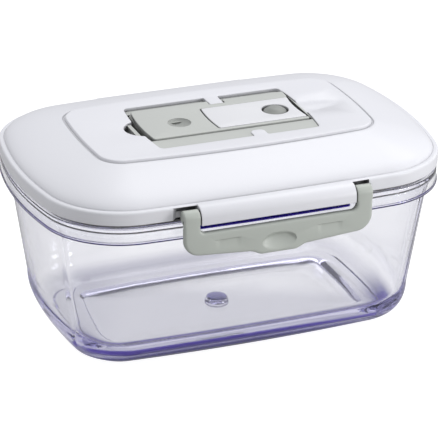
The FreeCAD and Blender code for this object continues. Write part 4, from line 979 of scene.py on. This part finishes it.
def on_line(name, piece, start, spacing, count):
    """Copies of a piece along X."""
    tree, source, values = node_tree(name + "Repeat", [
        ("Piece", "NodeSocketObject", piece), ("Count", "NodeSocketInt", count), ("Start", FLOAT, start),
        ("Spacing", FLOAT, spacing), ("Material", "NodeSocketMaterial", LATCH)])
    given = source.outputs
    start_place = node(tree, "ShaderNodeCombineXYZ", {"X": given["Start"]})
    step = node(tree, "ShaderNodeCombineXYZ", {"X": given["Spacing"]})
    line = node(tree, "GeometryNodeMeshLine", {
        "Count": given["Count"], "Start Location": start_place.outputs["Vector"],
        "Offset": step.outputs["Vector"]})
    info = node(tree, "GeometryNodeObjectInfo", {"Object": given["Piece"]})
    spread = node(tree, "GeometryNodeInstanceOnPoints", {
        "Points": line.outputs["Mesh"], "Instance": info.outputs["Geometry"]})
    finish_tree(tree, source, spread.outputs["Instances"])
    return bake(name, tree, values)


def make_eyes(name, sign):
    half = 0.5 * (LATCH_WIDE - LATCH_INNER)
    eye = Pieces().plate(rounded(EYE_SECTION, steps=10), [], half, -half, EYE_EDGE, EYE_EDGE)
    eye.turn(lambda u, v, h: (h, sign * u, v))
    single = eye.make(name + "_eye", LATCH)
    spacing = (LATCH_WIDE + LATCH_INNER) * MM
    pair = on_line(name + "_eyes", single, LATCH_X * MM - 0.5 * spacing, spacing, 2)
    bpy.data.objects.remove(single)
    return pair


for latch_name, latch_sign in LATCHES.items():
    settle(make_eyes(latch_name, latch_sign), latch_name, "latch_grey")

# %% [markdown]
# ## Pump handle
# The handle is a hollow lever: a top with a round dimple and a bay for the white slab, side walls below, a
# barrel round the hinge pin, and two cheeks whose slots carry the cross pin of the piston. Solidify on the
# top would also thicken the bay, so top, seat, skirt, barrel and cheeks are plates of one piece.

# %% Slab outline and its bay
SLAB_HALF, SLAB_LEFT, SLAB_BOW, SLAB_END = 14.3, -5.4, 110.0, 46.85
SLAB_BITE, BITE_RADIUS = 2.0, 80.0
SLAB_CORNER, SLAB_ROUND, CORNER_SHIFT = 1.4, 1.0, 0.2
VALVE_X, BUTTON_HOLE = 33.2, 7.4


def slab_sides(grow):
    """Left bow, from rear to front, hollow right end, from front to rear, and half width of the slab."""
    half = SLAB_HALF + grow
    reach = math.asin((half - SLAB_CORNER) / SLAB_BOW)
    left = arc((SLAB_BOW + SLAB_LEFT - grow, 0), SLAB_BOW, math.pi - reach, math.pi + reach, 25)
    bite = math.asin((half - SLAB_CORNER) / BITE_RADIUS)
    middle = SLAB_END - SLAB_BITE + BITE_RADIUS + grow
    right = arc((middle, 0), BITE_RADIUS, math.pi + bite, math.pi - bite, 25)
    return left, right, half


def slab_loop(grow):
    left, right, half = slab_sides(grow)
    low = rounded([
        sharp(left[-1]), (left[-1][0] + CORNER_SHIFT, -half, SLAB_ROUND),
        (right[0][0] + CORNER_SHIFT, -half, SLAB_ROUND), sharp(right[0])], closed=False)[1:-1]
    return np.vstack([left, low, right, low[::-1] * [1, -1]])


print("slab:", round(float(np.ptp(slab_loop(0.0)[:, 0])), 1), "mm long")

# %% Outlines of the handle
HANDLE_TOP, HANDLE_LOW = 113.7, 105.0
HANDLE_LEFT, HANDLE_RIGHT, HANDLE_FRONT, HANDLE_REAR, HANDLE_BOW = -44.0, 47.0, -17.0, 23.5, 135.0
HEEL_FRONT, HEEL_REAR, TIP_FRONT, TIP_BAY, TIP_REAR_Y = -42.9, -41.9, 46.8, 46.3, 17.8
HEEL_ANGLES = (math.pi - 0.15, math.pi + 0.1)
HEEL_ROUND, TIP_ROUND, BAY_ROUND, REAR_ROUND = 1.6, 1.0, 0.3, 1.4
BAY_GAP, BAY_SHIFT = 0.3, 0.4
NOTCH_FROM, NOTCH_TO, NOTCH_IN = 2.5, 11.5, 19.0
CLIP_NOTCH = [(NOTCH_TO, HANDLE_REAR, 0.4), (NOTCH_TO, NOTCH_IN, 0.6), (NOTCH_FROM, NOTCH_IN, 0.6),
              (NOTCH_FROM, HANDLE_REAR, 0.4)]


def handle_loop():
    """Top of the handle: bowed left end, and a bay for the slab that is open to the right."""
    left = arc((HANDLE_LEFT + HANDLE_BOW, 0), HANDLE_BOW, *HEEL_ANGLES, 21)
    bay, _, half = slab_sides(BAY_GAP)
    bay = bay - [BAY_SHIFT, 0.0]
    front = rounded([
        sharp(left[-1]), (HEEL_FRONT, HANDLE_FRONT, HEEL_ROUND), (TIP_FRONT, HANDLE_FRONT, TIP_ROUND),
        (TIP_BAY, -half, BAY_ROUND), (bay[-1][0] + CORNER_SHIFT, -half, SLAB_ROUND), sharp(bay[-1])],
        closed=False)[1:-1]
    rear = rounded([
        sharp(bay[0]), (bay[0][0] + CORNER_SHIFT, half, SLAB_ROUND), (TIP_BAY, half, BAY_ROUND),
        (HANDLE_RIGHT, TIP_REAR_Y, TIP_ROUND), (HANDLE_RIGHT, HANDLE_REAR, REAR_ROUND), *CLIP_NOTCH,
        (HEEL_REAR, HANDLE_REAR, HEEL_ROUND), sharp(left[0])], closed=False)[1:-1]
    return np.vstack([left, front, bay[::-1], rear])


SKIRT_LEFT, SKIRT_WALL, SKIRT_INSET, SKIRT_ROUND = -38.2, 1.8, 0.05, 0.5


def skirt_loop():
    """Side walls under the top; they end before the hinge, so that the heel can swing down."""
    _, right, half = slab_sides(BAY_GAP)
    front = [(SKIRT_LEFT, HANDLE_FRONT, SKIRT_ROUND), (TIP_FRONT, HANDLE_FRONT, TIP_ROUND),
             (TIP_BAY, -half, BAY_ROUND)]
    rear = [(TIP_BAY, half, BAY_ROUND), (HANDLE_RIGHT, TIP_REAR_Y, TIP_ROUND),
            (HANDLE_RIGHT, HANDLE_REAR, REAR_ROUND), *CLIP_NOTCH, (SKIRT_LEFT, HANDLE_REAR, SKIRT_ROUND)]
    return inset_loop(rounded(front + [sharp(p) for p in right[1:-1]] + rear), SKIRT_INSET)


print("handle outlines:", len(handle_loop()), "and", len(skirt_loop()), "points")

# %% Dimple, cam slot and handle piece
DIMPLE, DIMPLE_X, DIMPLE_DEPTH, DIMPLE_POWER = 6.4, -22.4, 4.0, 0.65
DIMPLE_STEPS = (0.2, 0.4, 0.6, 0.75, 0.86, 0.93, 0.97, 0.99, 1.0, 1.04)
HINGE_X, HINGE_Z, BARREL = -41.2, 109.4, 3.0
LEVER, PIN_DROP, SLOT_HALF, SWING = 18.8, 2.5, 1.65, math.radians(34.0)
CHEEK_IN, CHEEK_OUT, CHEEK_LOW, CHEEK_TOP = 4.4, 6.4, 102.3, 112.2
CHEEK_LEFT, CHEEK_RIGHT, CHEEK_EDGE = -26.4, -15.4, 0.2
TOP_THICK, TOP_EDGE = 5.4, 0.5
SEAT_GROW, SEAT_TOP, SEAT_LOW, SEAT_EDGE = 0.9, 112.4, 110.7, 0.2
SKIRT_TOP, SKIRT_EDGE, SKIRT_LOW_EDGE = 112.0, 0.1, 0.3
BARREL_ENDS = (-15.6, 22.1)


def dimple(x, y):
    far = ((x - DIMPLE_X) ** 2 + y**2) / DIMPLE**2
    return -DIMPLE_DEPTH * (1.0 - far) ** DIMPLE_POWER if far < 1.0 else 0.0


def slot_loop():
    """Cam slot: the places of the cross pin in the handle while it swings, with room round the pin."""
    spots = []
    for swing in np.linspace(0.0, SWING, 9):
        rise = LEVER * swing - PIN_DROP
        spots.append((HINGE_X + LEVER * math.cos(swing) + rise * math.sin(swing),
                      HINGE_Z - LEVER * math.sin(swing) + rise * math.cos(swing)))
    ways = np.c_[np.cos(FULL_TURN), np.sin(FULL_TURN)]
    return np.array([spots[int(np.argmax(np.array(spots) @ w))] + SLOT_HALF * w for w in ways])


def make_handle():
    points = spread_points((DIMPLE_X, 0.0), (DIMPLE, DIMPLE), DIMPLE_STEPS)
    low = HANDLE_TOP - TOP_THICK
    handle = Pieces().plate(handle_loop(), [], HANDLE_TOP, low, TOP_EDGE, 0.0, dimple, points)
    hole = circle(VALVE_X, 0.0, BUTTON_HOLE)
    handle.add(Pieces().plate(slab_loop(SEAT_GROW), [hole], SEAT_TOP, SEAT_LOW, SEAT_EDGE))
    skirt = skirt_loop()
    within = [inset_loop(skirt, SKIRT_WALL)]
    handle.add(Pieces().plate(skirt, within, SKIRT_TOP, HANDLE_LOW, SKIRT_EDGE, SKIRT_LOW_EDGE))
    barrel = Pieces()
    barrel.skin([[(x, y, z) for x, z in circle(HINGE_X, HINGE_Z, BARREL, 40)] for y in BARREL_ENDS], True)
    handle.add(barrel)
    side = rounded([(CHEEK_LEFT, CHEEK_LOW, 1.0), (CHEEK_RIGHT, CHEEK_LOW, 1.0), (CHEEK_RIGHT, CHEEK_TOP, 0),
                    (CHEEK_LEFT, CHEEK_TOP, 0)])
    for sign in (-1, 1):
        cheek = Pieces().plate(side, [slot_loop()], CHEEK_OUT, CHEEK_IN, CHEEK_EDGE, CHEEK_EDGE)
        handle.add(cheek.turn(lambda u, v, h: (u, sign * h, v)))
    return handle.make("pump_handle_skin", PUMP)


settle(make_handle(), "handle", "pump_grey", "pump_handle")

# %% [markdown]
# ## Slab and release button
# A thin white slab is let into the handle, and the grey button stands in its hole. The button is a turned
# shape; Screw or Spin modifiers make those too, but rings of a rounded profile keep the same edge rule as
# the rest.

# %% Slab and button
SLAB_TOP, SLAB_LOW, SLAB_EDGE = 113.85, 112.45, 0.45
BUTTON_POINTS = 48
SKIRT_Z, STEM, STEM_LOW, NEEDLE, BARB_Z, BUTTON_LOW = 109.6, 2.9, 101.0, 1.5, 91.5, 90.6
BUTTON_PROFILE = [
    (0.4, 115.4, 0), (3.4, 115.0, 3.0), (6.5, 112.9, 1.6), (6.8, SKIRT_Z, 0.3), (STEM, SKIRT_Z, 0.2),
    (STEM, STEM_LOW, 0.2), (NEEDLE, STEM_LOW, 0.1), (NEEDLE, BARB_Z, 0.1), (2.3, BARB_Z, 0.2),
    (1.6, BUTTON_LOW, 0.1), (0.3, BUTTON_LOW, 0),
]


def make_button():
    button = Pieces()
    turned = rounded(BUTTON_PROFILE, closed=False)
    button.skin([at_height(circle(VALVE_X, 0.0, radius, BUTTON_POINTS), z) for radius, z in turned], True)
    return button.make("release_button_skin", BUTTON)


button_hole = circle(VALVE_X, 0.0, BUTTON_HOLE)
slab = Pieces().plate(slab_loop(0.0), [button_hole], SLAB_TOP, SLAB_LOW, SLAB_EDGE)
settle(slab.make("handle_slab_skin", SLAB), "handle", "white_slab", "handle_slab")
settle(make_button(), "release_valve", "button_grey", "release_button")

# %% [markdown]
# ## Seal
# A grey silicone ring closes the gap between lid and tub, and its lip shows as a dark line under the rim.
# It has one section all the way round, so it is a sweep: Geometry Nodes turn the rim's outline and the
# section into curves and carry one along the other. A skin of rings would work too, but the sweep keeps the
# section apart.

# %% Seal ring
SEAL_INSET, SEAL_HEIGHT = 6.1, 92.3
SEAL_HALF, SEAL_TOP, SEAL_FOOT = 2.45, 2.95, 0.02
LIP_OUT, LIP_UPPER, LIP_TIP, LIP_LOWER, LIP_ROOT = -4.7, 0.6, -1.0, -1.4, -1.5
SEAL_SECTION = [
    (-SEAL_HALF, SEAL_TOP, 0.6), (-SEAL_HALF, LIP_UPPER, 0.1), (LIP_OUT, LIP_UPPER, 0.5),
    (LIP_OUT, LIP_TIP, 0.5), (-SEAL_HALF, LIP_LOWER, 0.2), (LIP_ROOT, LIP_LOWER, 0.4),
    (LIP_ROOT, SEAL_FOOT, 0.3), (SEAL_HALF, SEAL_FOOT, 0.6), (SEAL_HALF, SEAL_TOP, 0.6),
]


def wire_loop(name, points):
    """Closed chain of edges as a helper object for the sweep."""
    mesh = bpy.data.meshes.new(name)
    count = len(points)
    edges = [(i, (i + 1) % count) for i in range(count)]
    mesh.from_pydata([(x * MM, y * MM, 0.0) for x, y in points], edges, [])
    return put(name, mesh)


def make_seal():
    spine = wire_loop("seal_spine", plan(rim(SEAL_INSET)))
    section = wire_loop("seal_section", rounded(SEAL_SECTION, steps=4))
    tree, source, values = node_tree("SealSweep", [
        ("Spine", "NodeSocketObject", spine), ("Section", "NodeSocketObject", section),
        ("Height", FLOAT, SEAL_HEIGHT * MM), ("Material", "NodeSocketMaterial", SEAL)])
    given = source.outputs
    sweep = node(tree, "GeometryNodeCurveToMesh")
    for label, socket in (("Spine", "Curve"), ("Section", "Profile Curve")):
        info = node(tree, "GeometryNodeObjectInfo", {"Object": given[label]})
        curve = node(tree, "GeometryNodeMeshToCurve", {"Mesh": info.outputs["Geometry"]})
        feed(tree, sweep, {socket: curve.outputs["Curve"]})
    lift = node(tree, "ShaderNodeCombineXYZ", {"Z": given["Height"]})
    raised = node(tree, "GeometryNodeTransform", {
        "Geometry": sweep.outputs["Mesh"], "Translation": lift.outputs["Vector"]})
    smooth = node(tree, "GeometryNodeSetShadeSmooth", {"Geometry": raised.outputs["Geometry"]})
    finish_tree(tree, source, smooth.outputs["Geometry"])
    piece = bake("lid_seal_ring", tree, values)
    bpy.data.objects.remove(spine)
    bpy.data.objects.remove(section)
    return piece


settle(make_seal(), "lid", "grey_silicone", "lid_seal")

# %% [markdown]
# ## Inner pieces
# The tray, the inner plate, the pump and the valve parts are mostly hidden and already have their real
# shape in CAD. Drawing them again would show nothing more, so they keep their CAD mesh and only get a
# finish.

# %% Finishes of the inner pieces
PAINT = {
    "lid_inner_plate": INNER, "pump_tray": PUMP, "handle_hinge_pin": STEEL, "pump_cylinder": INNER,
    "cylinder_gasket": SEAL, "intake_valve": PALE, "rod_guide": INNER, "piston": INNER, "piston_cup": SEAL,
    "piston_cross_pin": STEEL, "release_plug": PALE, "release_spring": STEEL,
}
for node_name, material in PAINT.items():
    nodes[node_name].data.materials.clear()
    nodes[node_name].data.materials.append(material)
print("painted:", len(PAINT), "CAD pieces")

# %% [markdown]
# ## Camera
# The camera stands where the photograph was taken from: front left, looking down at about 24 degrees, far
# away with a long lens. Placing it by eye would take many tries; it was fitted to measured points of the
# object.

# %% Camera
AZIMUTH, ELEVATION, ROLL = math.radians(-21.93), math.radians(24.36), math.radians(0.76)
DISTANCE = 1.48454
TARGET = Vector((0.00094, -0.00123, 0.05322))
FOCAL_PIXELS, FRAME_PIXELS, SENSOR = 2709.56, 440.0, 36.0
SHIFT, FAR_CLIP = 0.0015, 20.0


def add_camera():
    back = Vector((math.sin(AZIMUTH) * math.cos(ELEVATION), -math.cos(AZIMUTH) * math.cos(ELEVATION),
                   math.sin(ELEVATION)))
    data = bpy.data.cameras.new("camera")
    data.sensor_width = SENSOR
    data.lens = FOCAL_PIXELS * SENSOR / FRAME_PIXELS
    data.shift_x = SHIFT
    data.clip_end = FAR_CLIP
    cam = put("camera", data)
    turn = back.to_track_quat("Z", "Y").to_matrix().to_4x4()
    cam.matrix_world = Matrix.Translation(TARGET + back * DISTANCE) @ turn @ Matrix.Rotation(ROLL, 4, "Z")
    scene.camera = cam
    print("camera lens:", round(data.lens, 1), "mm")


add_camera()

# %% [markdown]
# ## Floor and world
# The object stands on a white sweep. A lit white floor would flood the clear tub with light, so the white
# comes from the material by kind of ray: full white for the camera, a little less through the plastic, and
# a low level for the light that reaches the object. The world is bright above and darker near the horizon.

# %% Floor
FLOOR_HALF, FLOOR_DROP = 6.0, 0.0006
GLOW_CAMERA, GLOW_THROUGH, GLOW_OTHER = 0.95, 0.88, 0.33
FLOOR_SEEN, FLOOR_UNSEEN = (0.25, 0.25, 0.25, 1), (0.1, 0.1, 0.1, 1)


def add_floor():
    mesh = bpy.data.meshes.new("floor")
    half = FLOOR_HALF
    corners = [(-half, -half, 0), (half, -half, 0), (half, half, 0), (-half, half, 0)]
    mesh.from_pydata(corners, [], [(0, 1, 2, 3)])
    floor = put("floor", mesh)
    mat, tree, shader = new_material("floor_white")
    path = node(tree, "ShaderNodeLightPath").outputs
    tone = node(tree, "ShaderNodeMix", {
        "Factor": path["Is Camera Ray"], "A": FLOOR_UNSEEN, "B": FLOOR_SEEN}, data_type="RGBA")
    through = node(tree, "ShaderNodeMapRange", {
        "Value": path["Is Transmission Ray"], "To Min": GLOW_OTHER, "To Max": GLOW_THROUGH})
    glow = node(tree, "ShaderNodeMix", {
        "Factor": path["Is Camera Ray"], "A": through.outputs["Result"], "B": GLOW_CAMERA})
    feed(tree, shader, {
        "Roughness": 0.9, "Base Color": tone.outputs["Result"], "Emission Color": (1, 1, 1, 1),
        "Emission Strength": glow.outputs["Result"]})
    mesh.materials.append(mat)
    floor.location.z = -FLOOR_DROP
    print("floor:", 2 * half, "m wide")


add_floor()

# %% World
HORIZON = (0.48, 0.48, 0.51, 1)
ZENITH = (0.84, 0.85, 0.87, 1)
HORIZON_Z, ZENITH_Z = -0.05, 0.75


def set_world():
    """White for the camera; for reflections and refractions bright above, darker towards the horizon."""
    world = bpy.data.worlds.new("studio")
    scene.world = world
    world.use_nodes = True
    tree = world.node_tree
    where = node(tree, "ShaderNodeTexCoord")
    split = node(tree, "ShaderNodeSeparateXYZ", {"Vector": where.outputs["Generated"]})
    height = node(tree, "ShaderNodeMapRange", {
        "Value": split.outputs["Z"], "From Min": HORIZON_Z, "From Max": ZENITH_Z},
        interpolation_type="SMOOTHSTEP")
    sky = node(tree, "ShaderNodeMix", {
        "Factor": height.outputs["Result"], "A": HORIZON, "B": ZENITH}, data_type="RGBA")
    path = node(tree, "ShaderNodeLightPath")
    mix = node(tree, "ShaderNodeMix", {
        "Factor": path.outputs["Is Camera Ray"], "A": sky.outputs["Result"], "B": (1, 1, 1, 1)},
        data_type="RGBA")
    feed(tree, tree.nodes["Background"], {"Color": mix.outputs["Result"]})
    print("world:", world.name, "with", len(tree.nodes), "nodes")


set_world()

# %% [markdown]
# ## Lamps
# Product photographs use large soft lamps and dark cards. A soft key above the rear right lights the lid, a
# smaller lamp at the right front models the latch, and a dark card at the left front shades that side of
# the rim, which draws its edge. One big lamp would light the white lid evenly and hide its steps.

# %% Lamps, card and render depth
CARD_EDGE = ((-0.45, -0.22), (-0.02, -0.55))
CARD_LOW, CARD_HIGH = 0.07, 0.26
CARD_TONE = (0.02, 0.02, 0.025, 1)
KEY_PLACE, KEY_SIZE, KEY_POWER = (0.6, 0.45, 1.25), (1.0, 0.9), 4.6
SIDE_PLACE, SIDE_SIZE, SIDE_POWER = (1.0, -0.95, 0.25), (0.4, 0.4), 7
AIM = (0, 0, 0.08)
BOUNCES = 32


def add_area(name, place, size, power):
    data = bpy.data.lights.new(name, "AREA")
    data.shape = "RECTANGLE"
    data.size, data.size_y = size
    data.energy = power
    lamp = put(name, data)
    lamp.location = place
    lamp.rotation_euler = (Vector(AIM) - Vector(place)).to_track_quat("-Z", "Y").to_euler()
    print("lamp", name, power, "W")


def add_card():
    """Dark card at the left front, out of the camera's sight."""
    mesh = bpy.data.meshes.new("card")
    (x0, y0), (x1, y1) = CARD_EDGE
    corners = [(x0, y0, CARD_LOW), (x1, y1, CARD_LOW), (x1, y1, CARD_HIGH), (x0, y0, CARD_HIGH)]
    mesh.from_pydata(corners, [], [(0, 1, 2, 3)])
    card = put("card", mesh)
    mat, tree, shader = new_material("card_dark")
    feed(tree, shader, {"Base Color": CARD_TONE, "Roughness": 1.0})
    mesh.materials.append(mat)
    card.visible_camera = False


add_area("key", KEY_PLACE, KEY_SIZE, KEY_POWER)
add_area("side", SIDE_PLACE, SIDE_SIZE, SIDE_POWER)
add_card()
scene.view_settings.view_transform = "Standard"
scene.cycles.max_bounces = BOUNCES
scene.cycles.transmission_bounces = BOUNCES
scene.cycles.glossy_bounces = BOUNCES
scene.cycles.caustics_refractive = True
